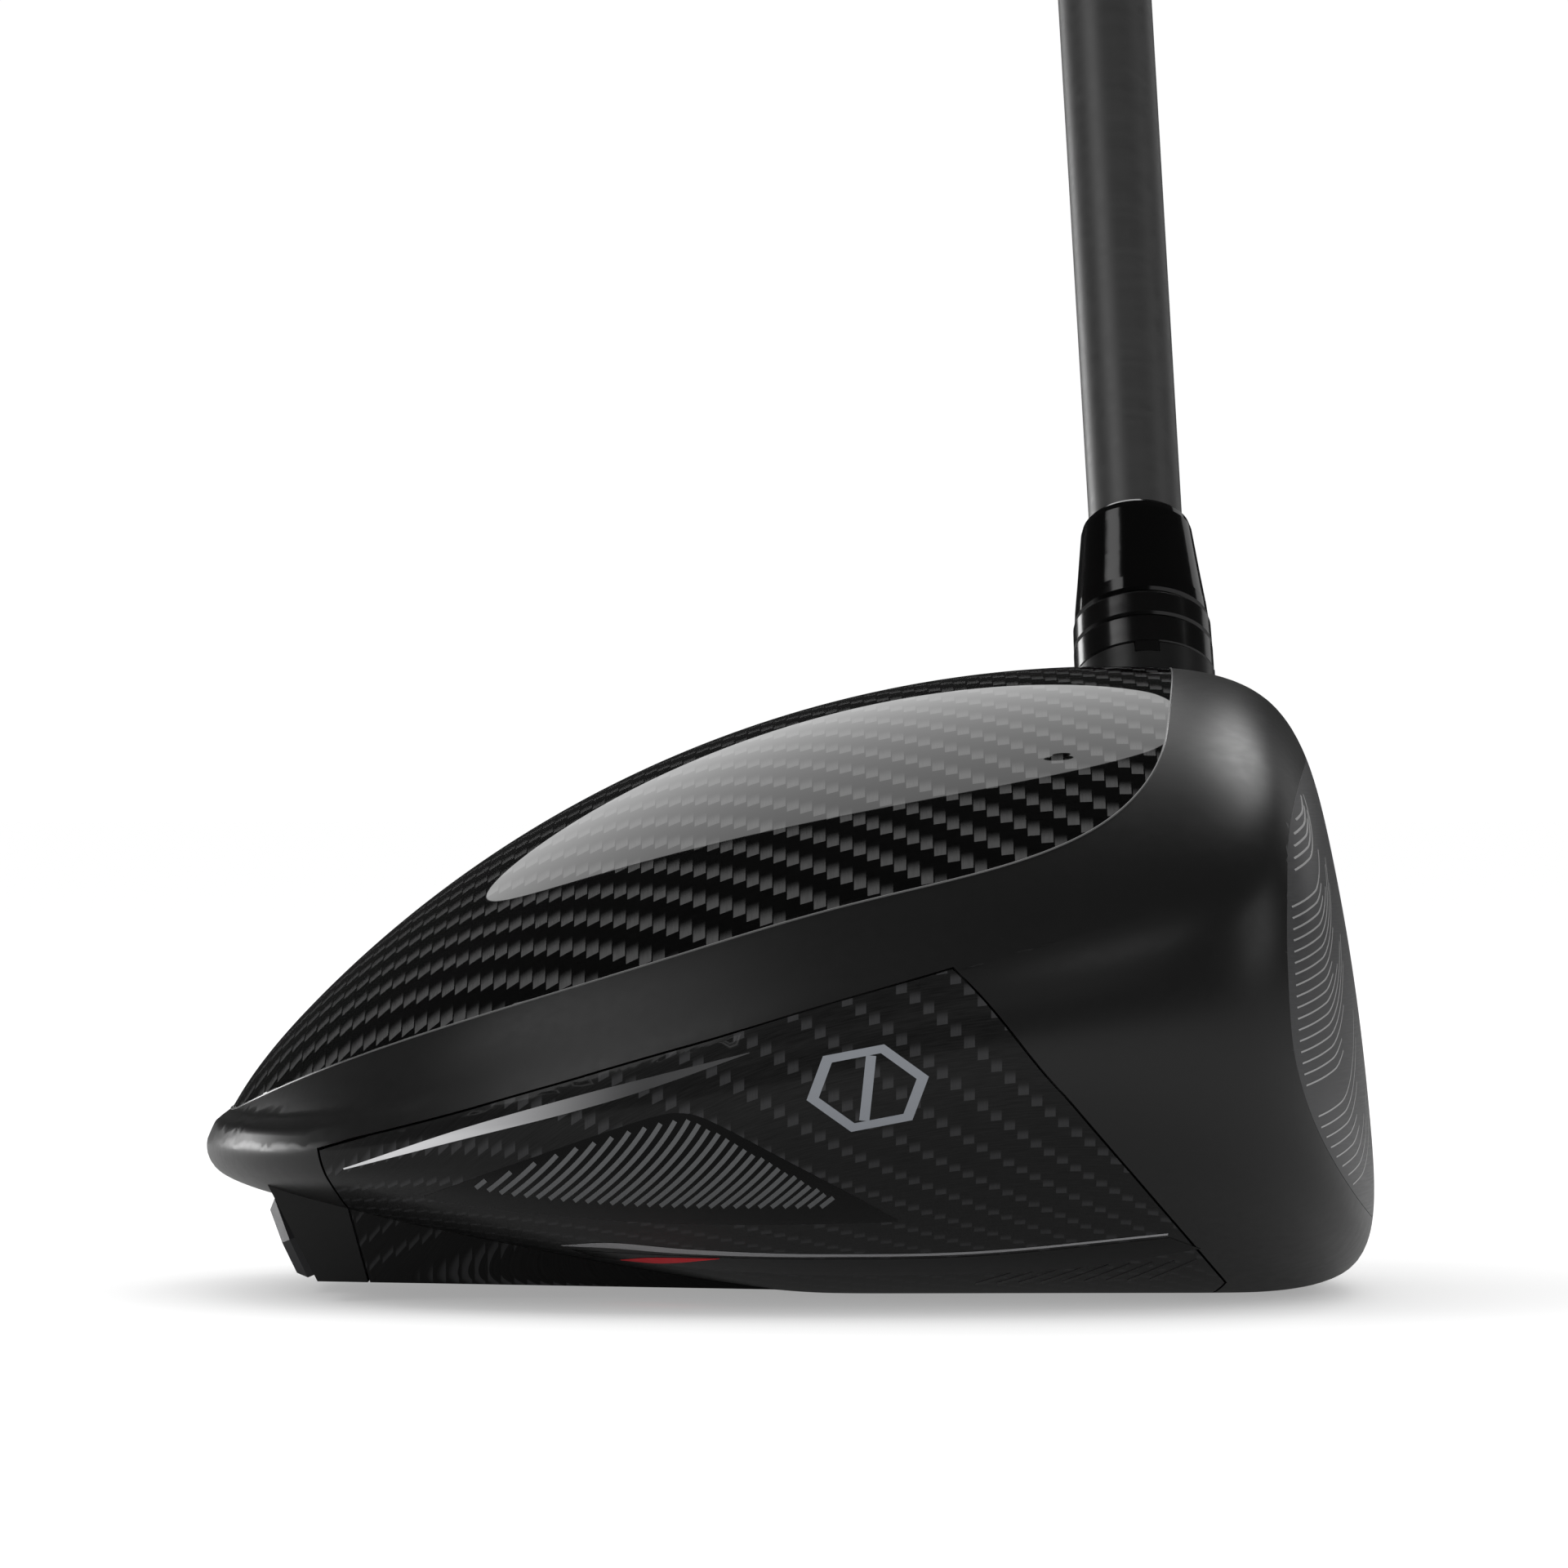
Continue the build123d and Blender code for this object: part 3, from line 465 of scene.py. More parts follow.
def twill(name, warp_sheen_colour, weft_colour, shine, highlight_fade_low, highlight_fade_high, width, coat, coat_roughness):
    """Lacquered 2x2 twill carbon: each warp tow floats over two weft tows and under two. The warp tows'
    lighter colour and its fade along each float are a painted sheen in place of the fibres' reflection.
    """
    shader = Shader(name, weft_colour, 0.35, specular=shine, coat=coat, coat_roughness=coat_roughness)
    across, along, _ = shader.weave_parts()
    column = shader.math("FLOOR", across)
    row = shader.math("ADD", along, column)
    place = shader.math("WRAP", row, 4.0, 0.0)
    share_across = shader.math("FRACT", across)
    warp_up = shader.math("LESS_THAN", shader.math("WRAP", shader.math("FLOOR", row), 4.0, 0.0), 1.5)
    # Painted highlight: along its float a warp tow is brightest low down and fades out towards its top end.
    painted_highlight_fade = shader.tree.nodes.new("ShaderNodeMapRange")
    painted_highlight_fade.interpolation_type = "SMOOTHSTEP"
    shader.set(painted_highlight_fade, "Value", place)
    shader.set(painted_highlight_fade, "From Min", highlight_fade_low)
    shader.set(painted_highlight_fade, "From Max", highlight_fade_high)
    shader.set(painted_highlight_fade, "To Min", 1.0)
    shader.set(painted_highlight_fade, "To Max", 0.0)
    off_centre = shader.math("ABSOLUTE", shader.math("SUBTRACT", share_across, 0.5))
    inside = shader.math("LESS_THAN", off_centre, width / 2.0)
    fibres = shader.noise(shader.stretched(shader.tree.nodes["UV Map"].outputs[0], (14.0, 0.6, 1.0)), 1.0)
    # Painted sheen: the warp tows that float on top get a lighter base colour than the weft, in place of
    # their reflection.
    painted_sheen = shader.math("MULTIPLY", shader.math("MULTIPLY", painted_highlight_fade.outputs[0], inside), warp_up)
    painted_sheen = shader.math("MULTIPLY", painted_sheen, shader.range(fibres, 0.6, 1.3))
    strands = shader.noise(shader.stretched(shader.tree.nodes["UV Map"].outputs[0], (0.5, 9.0, 1.0)), 1.0)
    dark = shader.mix(strands, (0.0, 0.0, 0.0), tuple(2.0 * c for c in weft_colour))
    shader.set(shader.surface, "Base Color", shader.mix(painted_sheen, dark, warp_sheen_colour))
    crest = shader.math("SUBTRACT", 1.0, shader.math("MULTIPLY", off_centre, off_centre))
    shader.bump(shader.math("MULTIPLY", crest, warp_up), 0.25, 0.00004)
    return shader.material


def brushed(name, colour, other, roughness, stretch, **finish):
    """Metal brushed one way: stretch is the noise scale along X, Y and Z."""
    shader = Shader(name, colour, roughness, **finish)
    lines = shader.noise(shader.stretched(shader.coordinates(), stretch), 1.0, 4.0)
    shader.set(shader.surface, "Base Color", shader.mix(lines, colour, other))
    shader.set(shader.surface, "Roughness", shader.range(lines, roughness - 0.08, roughness + 0.1))
    shader.bump(lines, 0.12, 0.00003)
    return shader.material


def painted_highlight_print(name, bright, dim, roughness, start, end, **finish):
    """Print that fades from bright to dim along X, between two places in metres. The fade is a painted
    reflection: the bright end is a painted highlight on the silver.
    """
    shader = Shader(name, bright, roughness, **finish)
    painted_highlight_ramp = shader.tree.nodes.new("ShaderNodeMapRange")
    painted_highlight_ramp.interpolation_type = "SMOOTHSTEP"
    shader.set(painted_highlight_ramp, "Value", shader.parts(shader.coordinates())[0])
    shader.set(painted_highlight_ramp, "From Min", start)
    shader.set(painted_highlight_ramp, "From Max", end)
    grain = shader.noise(shader.coordinates(), 900.0)
    shader.set(shader.surface, "Base Color", shader.mix(painted_highlight_ramp.outputs[0], bright, dim))
    shader.set(shader.surface, "Roughness", shader.range(grain, roughness - 0.04, roughness + 0.04))
    return shader.material


# ---- Materials --------------------------------------------------------------------------
def grey(value):
    return (value, value, value)


body_paint = speckled("body_paint", grey(0.0045), grey(0.006), 0.33, specular=0.4)
# Both weaves paint their warp tows lighter than the weft, with a fade: painted sheen in place of
# reflection.
crown_carbon = twill("crown_carbon_painted_sheen_weave", grey(0.05), grey(0.0012), shine=0.0,
                     highlight_fade_low=0.3, highlight_fade_high=2.0, width=0.9, coat=1.0, coat_roughness=0.02)
sole_carbon = twill("sole_carbon_painted_sheen_weave", (0.024, 0.024, 0.025), grey(0.006), shine=0.1,
                    highlight_fade_low=0.3, highlight_fade_high=1.1, width=0.8, coat=0.16, coat_roughness=0.12)
face_metal = brushed("face_metal", (0.05, 0.05, 0.052), (0.09, 0.09, 0.092), 0.38,
                     stretch=(900, 60, 6000), metallic=0.6)
weight_steel = speckled("weight_steel", (0.04, 0.04, 0.042), (0.06, 0.06, 0.063), 0.3, metallic=0.7)
black_steel = speckled("black_steel", grey(0.02), grey(0.04), 0.32, metallic=0.8)
anodised = speckled("black_anodised", grey(0.0015), grey(0.003), 0.16, spread=0.04, bump=0.04)
ferrule_gloss = speckled("ferrule_gloss", grey(0.0008), grey(0.0016), 0.1, spread=0.03, bump=0.02)
shaft_satin = brushed("shaft_satin", grey(0.018), grey(0.026), 0.4, stretch=(60, 900, 900), specular=0.9)
nylon = speckled("nylon_white", (0.55, 0.54, 0.5), (0.6, 0.59, 0.56), 0.5)
brass = brushed("turned_brass", (0.5, 0.33, 0.12), (0.62, 0.42, 0.18), 0.3,
                stretch=(3000, 3000, 300), metallic=1.0)
tape = speckled("grip_tape_paper", (0.62, 0.58, 0.48), (0.7, 0.66, 0.56), 0.85, grain=400.0)
rubber = speckled("grip_rubber_black", grey(0.011), grey(0.016), 0.72, grain=1500.0, bump=0.35)
print_silver = speckled("print_silver", (0.3, 0.3, 0.31), (0.38, 0.38, 0.39), 0.25, metallic=0.25)
# Painted highlight: the sweep's silver is coloured bright at its rear and dim towards its tip, in place of
# its reflection.
sweep_silver_painted_highlight = painted_highlight_print("sweep_silver_painted_highlight", (0.62, 0.62, 0.63), (0.045, 0.045, 0.046), 0.25,
                      start=-0.053, end=-0.026, metallic=0.2)
print_grey = speckled("print_grey", (0.15, 0.16, 0.175), (0.17, 0.18, 0.2), 0.45)
print_line = speckled("print_line", (0.07, 0.072, 0.074), (0.09, 0.092, 0.095), 0.45, specular=0.15)
print_black = speckled("print_black", grey(0.0015), grey(0.003), 0.2, specular=0.12, spread=0.04)
print_red = speckled("print_red", (0.5, 0.0, 0.008), (0.6, 0.0, 0.01), 0.3, specular=0.15)
etched = speckled("etched_lines", grey(0.3), grey(0.4), 0.4, metallic=0.6)
seam_glint = speckled("seam_bead", grey(0.07), grey(0.1), 0.25, metallic=0.3)

for node, finish in {
    "rear_weight": weight_steel, "rear_weight_screw": black_steel, "hosel_bolt": black_steel,
    "hosel_washer": black_steel, "bolt_retainer": nylon, "index_ring": anodised, "adapter_sleeve": anodised,
    "thread_insert": black_steel, "ferrule": ferrule_gloss, "tip_weight": brass, "tip_plug": nylon,
    "grip_tape": tape, "grip_cap": rubber,
}.items():
    for slot in frame["nodes"][node].material_slots:
        slot.material = finish

# ---- Head ---------------------------------------------------------------------------------
skinned("head_casting", body_paint, 1.6)
skinned("crown_panel", crown_carbon, 1.6)
skinned("sole_panel_toe", sole_carbon, 1.6)
skinned("sole_panel_heel", sole_carbon, 1.6)
skinned("face_plate", face_metal, 1.6)


# ---- Prints and fine lines: thin closed slabs laid on the head ------------------------------
def root_between(inner, outer, value_at, steps=40):
    """The place from the inner to the outer point where value_at crosses from below to above."""
    inside, beyond = np.zeros(len(inner)), np.ones(len(inner))
    for _ in range(steps):
        middle = (inside + beyond) / 2.0
        below = value_at(inner + (outer - inner) * middle[:, None]) < 0.0
        inside, beyond = np.where(below, middle, inside), np.where(below, beyond, middle)
    return inner + (outer - inner) * inside[:, None]


def on_toe(plane, level):
    """(x, z) points of a toe-side view, laid on the toe side at a height over the skin."""
    x, z = plane.T
    inner = np.stack([x, np.full_like(x, -4.0), z], 1)
    outer = np.stack([x, np.full_like(x, -80.0), z], 1)
    return root_between(inner, outer, lambda p: field_at(p) - level)


def on_face(plane, level):
    """(y, z) points of a front view, laid on the face."""
    y, z = plane.T
    inner = np.stack([np.zeros_like(y), y, z], 1)
    outer = np.stack([np.full_like(y, 60.0), y, z], 1)
    return root_between(inner, outer, lambda p: field_at(p) - level)


def curve(points, count):
    """Points along a smooth curve through a few given ones (Catmull-Rom)."""
    given = np.array(points, float)
    if len(given) == 2:
        share = np.linspace(0.0, 1.0, count)[:, None]
        return given[0] * (1 - share) + given[1] * share
    padded = np.vstack([2 * given[0] - given[1], given, 2 * given[-1] - given[-2]])
    place = np.linspace(0.0, len(given) - 1.0, count)
    index = np.minimum(place.astype(int), len(given) - 2)
    t = (place - index)[:, None]
    a, b, c, d = (padded[index + i] for i in range(4))
    return 0.5 * (2 * b + (c - a) * t + (2 * a - 5 * b + 4 * c - d) * t**2 + (3 * b - a - 3 * c + d) * t**3)


def slab(first, second, place, across=2, low=-0.06, high=0.025):
    """A closed thin sheet between two curves of equal counts: (points, faces, normals)."""
    shares = np.linspace(0.0, 1.0, across + 1)[:, None, None]
    plane = (first * (1 - shares) + second * shares).reshape(-1, 2)
    rows, columns = across + 1, len(first)
    top, bottom = place(plane, high), place(plane, low)
    points = np.vstack([top, bottom])
    index = np.arange(rows * columns).reshape(rows, columns)
    a, b, c, d = index[:-1, :-1], index[:-1, 1:], index[1:, 1:], index[1:, :-1]
    upper = np.stack([a, b, c, d], -1).reshape(-1, 4)
    rim = np.concatenate([index[0, :], index[1:, -1], index[-1, -2::-1], index[-2:0:-1, 0]])
    following = np.roll(rim, -1)
    under = rows * columns
    sides = np.stack([rim, rim + under, following + under, following], 1)
    centre = points[upper[0]]
    out = gradient_at(centre[:1])[0]
    turned = np.dot(np.cross(centre[1] - centre[0], centre[3] - centre[0]), out) < 0
    if turned:
        upper, sides = upper[:, ::-1], sides[:, ::-1]
    faces = np.vstack([upper, upper[:, ::-1] + under, sides])
    normals = np.zeros((len(faces) * 4, 3))
    normals[: len(upper) * 4] = unit(gradient_at(points[upper.ravel()]))
    return points, faces, normals


def laid(name, slabs, material):
    """One piece from several slabs, riding on the head."""
    points, faces, normals, start = [], [], [], 0
    for slab_points, slab_faces, slab_normals in slabs:
        points.append(slab_points)
        faces.append(slab_faces + start)
        normals.append(slab_normals)
        start += len(slab_points)
    piece = new_piece(name, np.vstack(points), np.vstack(faces), material, np.vstack(normals))
    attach(piece, "head")
    return piece


def stroke(line, width, place, **heights):
    """A line of even width, drawn as a slab."""
    along = np.gradient(line, axis=0)
    along = along / np.linalg.norm(along, axis=1, keepdims=True)
    side = np.stack([-along[:, 1], along[:, 0]], 1) * width / 2.0
    return slab(line - side, line + side, place, **heights)


# Upper silver sweep, from the panel's rear corner to a fine tip. Its colour carries a painted highlight at
# the rear end that fades to dim towards the tip.
sweep_top = curve([(-54.3, 12.9), (-43.7, 16.65), (-33.4, 19.7), (-26.2, 21.6), (-17.7, 23.75)], 70)
sweep_low = curve([(-54.2, 12.8), (-43.7, 15.7), (-33.4, 18.4), (-26.2, 20.6), (-17.6, 23.7)], 70)
laid("panel_sweep", [slab(sweep_low, sweep_top, on_toe, across=4)], sweep_silver_painted_highlight)

# Lower silver line and the dark band under it.
line_top = curve([(-35.0, 5.45), (-30.1, 5.9), (-22.7, 5.35), (-11.6, 5.0), (3.1, 5.2), (20.1, 6.9)], 90)
line_low = curve([(-34.8, 5.35), (-30.1, 5.3), (-22.7, 4.85), (-11.6, 4.7), (3.1, 4.95), (20.1, 6.7)], 90)
laid("panel_line", [slab(line_low, line_top, on_toe, across=3)], print_silver)
band_top = curve([(-34.0, 4.9), (-22.8, 4.6), (-11.6, 4.45), (3.2, 4.7), (20.3, 6.45)], 90)
band_low = curve([(-32.0, 4.1), (-19.1, 3.0), (-4.1, 2.6), (10.8, 3.2), (23.2, 5.3)], 90)
laid("panel_band", [slab(band_low, band_top, on_toe, across=8)], print_black)
red_top = curve([(-29.6, 3.95), (-26.5, 4.35), (-20.5, 4.45)], 30)
red_low = curve([(-29.5, 3.85), (-25.6, 3.7), (-20.4, 4.4)], 30)
laid("panel_red_flash", [slab(red_low, red_top, on_toe, across=3, high=0.05)], print_red)

# Wedge mark: a dark shape with curved hairlines that end on an inner line.
wedge_top = curve([(-47.0, 10.4), (-39.3, 13.4), (-30.5, 16.6), (-26.2, 18.0), (-23.6, 18.35),
                   (-21.0, 17.6), (-15.3, 14.6), (-8.8, 11.0), (-4.4, 8.4)], 96)
wedge_low = curve([(-47.0, 10.1), (-38.1, 8.9), (-26.3, 8.1), (-15.3, 8.0), (-4.4, 8.2)], 96)
laid("panel_wedge", [slab(wedge_low, wedge_top, on_toe, across=16, high=0.012)], print_black)
inner_line = curve([(-43.1, 11.5), (-38.0, 10.6), (-26.3, 9.8), (-8.4, 9.7)], 200)
inner_top = curve([(-43.1, 11.6), (-30.5, 16.2), (-25.5, 17.6), (-23.6, 17.9), (-21.1, 17.1),
                   (-8.4, 9.75)], 200)
hairlines = []
HAIRLINE_COUNT = 30
for i in range(HAIRLINE_COUNT):
    start_x = -42.2 + (42.2 - 10.2) * i / (HAIRLINE_COUNT - 1)
    start_z = np.interp(start_x, inner_line[:, 0], inner_line[:, 1])
    rise = np.linspace(0.0, 9.0, 60)
    path = np.stack([start_x + 1.25 * rise - 0.045 * rise**2, start_z + rise], 1)
    under = path[:, 1] < np.interp(path[:, 0], inner_top[:, 0], inner_top[:, 1]) - 0.15
    reach = rise[under].max(initial=0.0)
    if reach < 0.6:
        continue
    rise = np.linspace(0.0, reach, 16)
    path = np.stack([start_x + 1.25 * rise - 0.045 * rise**2, start_z + rise], 1)
    hairlines.append(stroke(path, 0.42, on_toe, across=1, high=0.035))
laid("panel_hairlines", hairlines, print_line)

# Plain six-sided mark with one upright bar.
MARK_X, MARK_Z, MARK_RADIUS = -7.2, 20.6, 5.6
mark = []
MARK_HEIGHT = 0.72 * MARK_RADIUS
turns = [math.radians(a) for a in range(15, 375, 60)]
corners = [(MARK_X + MARK_RADIUS * math.cos(t), MARK_Z + MARK_HEIGHT * math.sin(t)) for t in turns]
inner_corners = [(MARK_X + (x - MARK_X) * 0.8, MARK_Z + (z - MARK_Z) * 0.8) for x, z in corners]
for i in range(6):
    j = (i + 1) % 6
    outer_side = curve([corners[i], corners[j]], 12)
    inner_side = curve([inner_corners[i], inner_corners[j]], 12)
    mark.append(slab(inner_side, outer_side, on_toe, across=2))
bar = curve([(MARK_X - 0.3, MARK_Z - 2.9), (MARK_X + 0.3, MARK_Z + 2.9)], 12)
mark.append(stroke(bar, 0.9, on_toe, across=2))
laid("panel_mark", mark, print_grey)

# Slanted dark strokes in the panel's front lower corner.
slants = []
for i in range(9):
    start_x = 3.0 + 2.0 * i
    path = curve([(start_x, 1.5 + 0.05 * i), (start_x + 4.0, 3.0 + 0.14 * i)], 14)
    slants.append(stroke(path, 0.3, on_toe, across=1))
laid("panel_slants", slants, print_black)

# Face: fine etched lines at the toe and heel, with a clear middle.
LINE_STEP, LINE_WIDTH = 1.0, 0.16
etches = []
for side in (-1.0, 1.0):
    for i in range(38):
        z = 10.5 + LINE_STEP * i
        if i in (8, 9, 27, 28):
            continue
        up = (z - FACE_PLATE_Z) / (FACE_PLATE_HALF_HEIGHT + 2.0)
        edge = FACE_PLATE_HALF_LENGTH * max(1.0 - abs(up) ** 2.4, 0.02) ** (1 / 2.4)
        start = FACE_PLATE_Y + side * (edge - 1.0)
        inward = -side
        length = 13.0 + 4.0 * math.cos(i * 0.9)
        run = np.linspace(0.0, length, 26)
        lift = 0.22 * run + 1.2 * np.maximum(run - 6.0, 0.0) ** 1.6 / 10.0
        path = np.stack([start + inward * run, z + lift], 1)
        above = (path[:, 1] - FACE_PLATE_Z) / FACE_PLATE_HALF_HEIGHT
        beside = np.abs(path[:, 0] - FACE_PLATE_Y) / FACE_PLATE_HALF_LENGTH
        inside = np.abs(above) ** 2.4 + beside**2.4 < 0.97
        path = path[inside]
        if len(path) > 4:
            etches.append(stroke(path, LINE_WIDTH, on_face, across=1, low=-0.04, high=0.02))
laid("face_lines", etches, etched)


# ---- Bead along the crown joint --------------------------------------------------------------
BEAD_RADIUS, BEAD_COUNT, BEAD_SIDES = 0.13, 720, 8
angles = np.arange(BEAD_COUNT) * 2.0 * math.pi / BEAD_COUNT
centre = np.array([[-20.0, 0.0, 0.0]] * BEAD_COUNT)
rim = centre + 110.0 * np.stack([np.cos(angles), np.sin(angles), 0 * angles], 1)
plan = root_between(centre, rim, lambda p: crown_edge_distance(p[:, 0], p[:, 1]) + 0.1)
low_end, high_end = plan.copy(), plan.copy()
low_end[:, 2] = equator_height(plan[:, 0])
high_end[:, 2] = 75.0
bead_line = root_between(low_end, high_end, lambda p: field_at(p) + 0.06)
ahead = unit(np.roll(bead_line, -1, 0) - np.roll(bead_line, 1, 0))
up = unit(gradient_at(bead_line))
aside = unit(np.cross(ahead, up))
ring = []
for k in range(BEAD_SIDES):
    turn = 2.0 * math.pi * k / BEAD_SIDES
    ring.append(bead_line + BEAD_RADIUS * (math.cos(turn) * aside + math.sin(turn) * up))
bead_points = np.stack(ring, 1).reshape(-1, 3)
here = np.arange(BEAD_COUNT)[:, None] * BEAD_SIDES
there = np.roll(np.arange(BEAD_COUNT), -1)[:, None] * BEAD_SIDES
k = np.arange(BEAD_SIDES)[None, :]
k_next = (k + 1) % BEAD_SIDES
bead_faces = np.stack([here + k, here + k_next, there + k_next, there + k], -1).reshape(-1, 4)
bead = new_piece("crown_joint_bead", bead_points, bead_faces, seam_glint)
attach(bead, "head")

# ---- Shaft and grip ----------------------------------------------------------------------------
tilt = math.radians(SHAFT_TILT_DEG)
hosel_across = np.array([0.0, axis_z, -axis_y])
hosel_across = unit((hosel_across - (hosel_across @ HOSEL_AXIS) * HOSEL_AXIS)[None])[0]
SHAFT_AXIS = HOSEL_AXIS * math.cos(tilt) + hosel_across * math.sin(tilt)
SHAFT_PIVOT = HOSEL_ORIGIN + HOSEL_AXIS * SHAFT_TILT_STATION
SHAFT_SIDE = unit(np.cross(SHAFT_AXIS, [1.0, 0.0, 0.0])[None])[0]
SHAFT_UP = np.cross(SHAFT_AXIS, SHAFT_SIDE)


def shaft_radius(station):
    tip = np.interp(station, [COLLAR_TOP + 1.0, FERRULE_TOP], [SHAFT_TIP_RADIUS, SHAFT_FERRULE_RADIUS])
    rest = np.interp(station, [FERRULE_TOP, SHAFT_BUTT], [SHAFT_FERRULE_RADIUS, SHAFT_BUTT_RADIUS])
    return np.where(station < FERRULE_TOP, tip, rest)


def around_shaft(radii, stations, sides):
    """A closed ring of quads: one row of points per (radius, station), the last row joined to the first."""
    turn = np.arange(sides) * 2.0 * math.pi / sides
    radii = np.asarray(radii)
    if radii.ndim == 1:
        radii = np.repeat(radii[:, None], sides, 1)
    heights = np.asarray(stations)[:, None]
    spokes = np.cos(turn)[:, None] * SHAFT_SIDE + np.sin(turn)[:, None] * SHAFT_UP
    points = SHAFT_PIVOT + radii[:, :, None] * spokes[None]
    points = points + (heights - SHAFT_TILT_STATION)[:, :, None] * SHAFT_AXIS
    rows = len(radii)
    index = np.arange(rows * sides).reshape(rows, sides)
    a, b = index, np.roll(index, -1, 1)
    faces = np.stack([a, b, np.roll(b, -1, 0), np.roll(a, -1, 0)], -1).reshape(-1, 4)
    return points.reshape(-1, 3), faces


SHAFT_SIDES = 96
outside = np.array([
    SHAFT_TIP + 0.1, SHAFT_TIP + 0.4, COLLAR_TOP + 1.0, FERRULE_TOP, SHAFT_BUTT - 0.3, SHAFT_BUTT,
])
outer_radii = shaft_radius(outside) - np.array([0.3, 0, 0, 0, 0, 0.3])
inside = outside[::-1]
shaft_radii = np.concatenate([outer_radii, shaft_radius(inside) - SHAFT_WALL])
shaft_points, shaft_faces = around_shaft(shaft_radii, np.concatenate([outside, inside]), SHAFT_SIDES)
shaft = new_piece("shaft_tube", shaft_points, shaft_faces, shaft_satin)
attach(shaft, "shaft_assembly")
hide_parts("shaft")
shaft.visible_glossy = False

# The grip: a tapered sleeve with moulded diagonal ribs between plain bands.
GRIP_SIDES, RIB_DEPTH, RIB_PITCH, RIBS_ROUND = 160, 0.35, 4.2, 20
lip = [GRIP_MOUTH, GRIP_MOUTH + 0.4, GRIP_MOUTH + 1.2]
stations = np.concatenate([lip, np.linspace(GRIP_MOUTH + 2.0, CAP_LINE, 420)])
body_radius = np.interp(stations, [*lip, CAP_LINE - 45.0, CAP_LINE],
                        [GRIP_MOUTH_RADIUS - 0.8, GRIP_MOUTH_RADIUS - 0.3, GRIP_MOUTH_RADIUS,
                         GRIP_BUTT_RADIUS - 0.6, GRIP_BUTT_RADIUS])
turn = np.arange(GRIP_SIDES) * 2.0 * math.pi / GRIP_SIDES
wave = 2.0 * math.pi * stations[:, None] / RIB_PITCH
weave_one = np.sin(RIBS_ROUND * turn[None] + wave)
weave_two = np.sin(RIBS_ROUND * turn[None] - wave)
relief = smooth_step(np.minimum(weave_one, weave_two), -0.25, 0.35)
share = (stations - GRIP_MOUTH) / (CAP_LINE - GRIP_MOUTH)
bands = smooth_step(np.abs(np.sin(share * math.pi * 6.0)), 0.12, 0.3) * smooth_step(share, 0.02, 0.05)
bands = bands * (1.0 - smooth_step(share, 0.93, 0.96))
radii = body_radius[:, None] - RIB_DEPTH * (1.0 - relief) * bands[:, None]
lining = np.full((2, GRIP_SIDES), SHAFT_BUTT_RADIUS + TAPE_THICKNESS + 0.05)
lining[1] = float(shaft_radius(np.array(GRIP_MOUTH))) + TAPE_THICKNESS + 0.05
grip_stations = np.concatenate([stations, [CAP_LINE, GRIP_MOUTH]])
grip_points, grip_faces = around_shaft(np.vstack([radii, lining]), grip_stations, GRIP_SIDES)
grip = new_piece("grip_sleeve", grip_points, grip_faces, rubber)
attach(grip, "shaft_assembly")
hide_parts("grip")
grip.visible_glossy = False

# ---- Floor, world, lights and camera --------------------------------------------------------------
# The floor glows a little, so that its shadow stays soft, and looks dimmer in reflections than in view.
FLOOR_TONE, FLOOR_REFLECTED_TONE = 0.5, 0.34
FLOOR_GLOW, FLOOR_REFLECTED_GLOW = 0.34, 0.05
floor_shader = Shader("floor_white", grey(FLOOR_TONE), 0.9, specular=0.0)
floor_rays = floor_shader.tree.nodes.new("ShaderNodeLightPath")
floor_mirrored = floor_rays.outputs["Is Glossy Ray"]
floor_tone = floor_shader.mix(floor_mirrored, grey(FLOOR_TONE), grey(FLOOR_REFLECTED_TONE))
floor_grain = floor_shader.noise(floor_shader.coordinates(), 40.0)
floor_shader.set(floor_shader.surface, "Base Color", floor_tone)
floor_shader.set(floor_shader.surface, "Roughness", floor_shader.range(floor_grain, 0.88, 0.92))
floor_shader.set(floor_shader.surface, "Emission Color", (1.0, 1.0, 1.0, 1.0))
floor_glow = floor_shader.range(floor_mirrored, FLOOR_GLOW, FLOOR_REFLECTED_GLOW)
floor_shader.set(floor_shader.surface, "Emission Strength", floor_glow)
floor_mesh = bpy.data.meshes.new("floor")
FLOOR_HALF = 12.0
floor_mesh.from_pydata([(-FLOOR_HALF, -FLOOR_HALF, 0), (FLOOR_HALF, -FLOOR_HALF, 0),
                        (FLOOR_HALF, FLOOR_HALF, 0), (-FLOOR_HALF, FLOOR_HALF, 0)], [], [(0, 1, 2, 3)])
floor_mesh.materials.append(floor_shader.material)
floor = bpy.data.objects.new("floor", floor_mesh)
bpy.context.scene.collection.objects.link(floor)

world = bpy.data.worlds.new("studio")
bpy.context.scene.world = world
world.use_nodes = True
tree = world.node_tree
tree.nodes.clear()
paths = tree.nodes.new("ShaderNodeLightPath")
output = tree.nodes.new("ShaderNodeOutputWorld")


def backdrop(value):
    node = tree.nodes.new("ShaderNodeBackground")
    node.inputs["Color"].default_value = (value, value, value, 1.0)
    return node.outputs[0]


def choose(share, first, second):
    node = tree.nodes.new("ShaderNodeMixShader")
    tree.links.new(share, node.inputs[0])
    tree.links.new(first, node.inputs[1])
    tree.links.new(second, node.inputs[2])
    return node.outputs[0]


SEEN, REFLECTED, AMBIENT = 1.02, 0.02, 1.32
light = choose(paths.outputs["Is Glossy Ray"], backdrop(AMBIENT), backdrop(REFLECTED))
light = choose(paths.outputs["Is Camera Ray"], light, backdrop(SEEN))
tree.links.new(light, output.inputs["Surface"])

HEAD_CENTRE = Vector((-0.009, -0.015, 0.035))


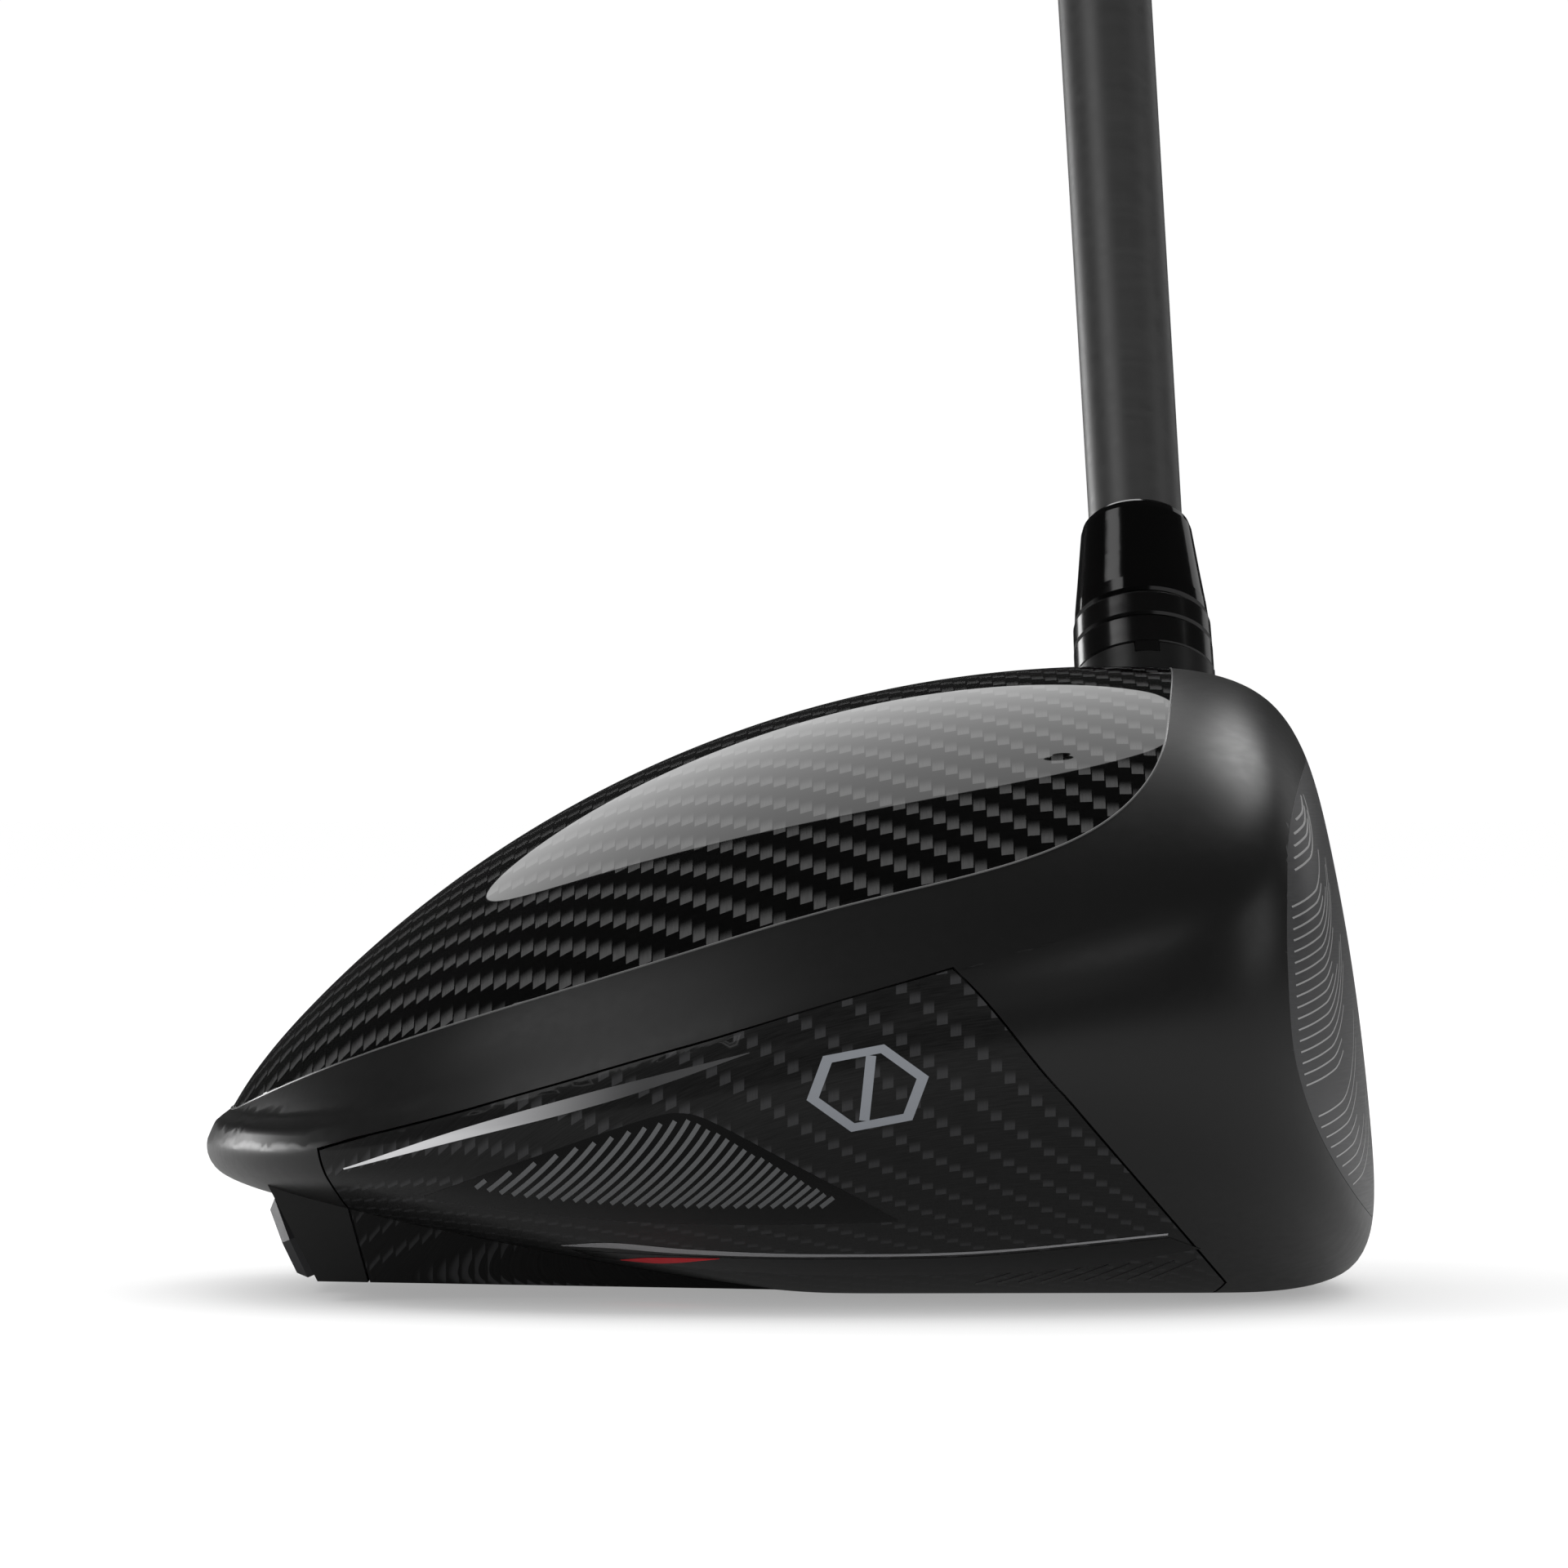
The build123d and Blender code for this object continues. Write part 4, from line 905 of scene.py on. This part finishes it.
def softbox(name, azimuth, elevation, distance, width, height, radiance, shape="RECTANGLE", roll=0.0):
    """An area light aimed at the head. Azimuth runs from +X towards +Y; radiance is that of its surface."""
    a, e = math.radians(azimuth), math.radians(elevation)
    direction = Vector((math.cos(a) * math.cos(e), math.sin(a) * math.cos(e), math.sin(e)))
    lamp = bpy.data.lights.new(name, "AREA")
    lamp.shape = shape
    lamp.size, lamp.size_y = width, height
    area = width * height * (math.pi / 4.0 if shape == "ELLIPSE" else 1.0)
    lamp.energy = radiance * area * math.pi
    lamp_object = bpy.data.objects.new(name, lamp)
    facing = direction.to_track_quat("Z", "Y").to_matrix().to_4x4()
    facing = facing @ Matrix.Rotation(math.radians(roll), 4, "Z")
    lamp_object.matrix_world = Matrix.Translation(HEAD_CENTRE + direction * distance) @ facing
    bpy.context.scene.collection.objects.link(lamp_object)
    lamp_object.visible_camera = False
    return lamp_object


softbox("crown_light", 100, 39, 1.6, 0.78, 1.25, 1.2, "ELLIPSE")
softbox("front_corner_light", 67, 44, 1.6, 0.36, 0.5, 4.5)
softbox("facet_light", -72, 48, 1.6, 0.5, 0.16, 2.4)
softbox("tail_light", 140, 7, 1.5, 0.9, 0.3, 5.5)
softbox("shaft_light", 205, 51, 1.6, 0.8, 0.22, 3.0, roll=28.0)
softbox("ferrule_light", 172, 56, 1.6, 0.8, 0.22, 1.7, roll=35.0)
softbox("toe_light", -95, 30, 1.8, 1.6, 0.35, 0.3)
softbox("face_light", -8, 24, 1.6, 0.7, 0.9, 0.9)
softbox("heel_light", 55, 20, 1.8, 0.6, 0.9, 0.5)

CAMERA_X, CAMERA_Y, CAMERA_Z = -14.6, -952.0, 47.5
camera_data = bpy.data.cameras.new("camera")
camera_data.sensor_width = 36.0
camera_data.lens = 231.75
camera_data.clip_start, camera_data.clip_end = 0.01, 50.0
camera = bpy.data.objects.new("camera", camera_data)
camera.location = (CAMERA_X * MM, CAMERA_Y * MM, CAMERA_Z * MM)
camera.rotation_euler = (math.pi / 2.0, 0.0, 0.0)
bpy.context.scene.collection.objects.link(camera)
bpy.context.scene.camera = camera
bpy.context.scene.view_settings.view_transform = "Standard"
bpy.context.scene.view_settings.look = "None"
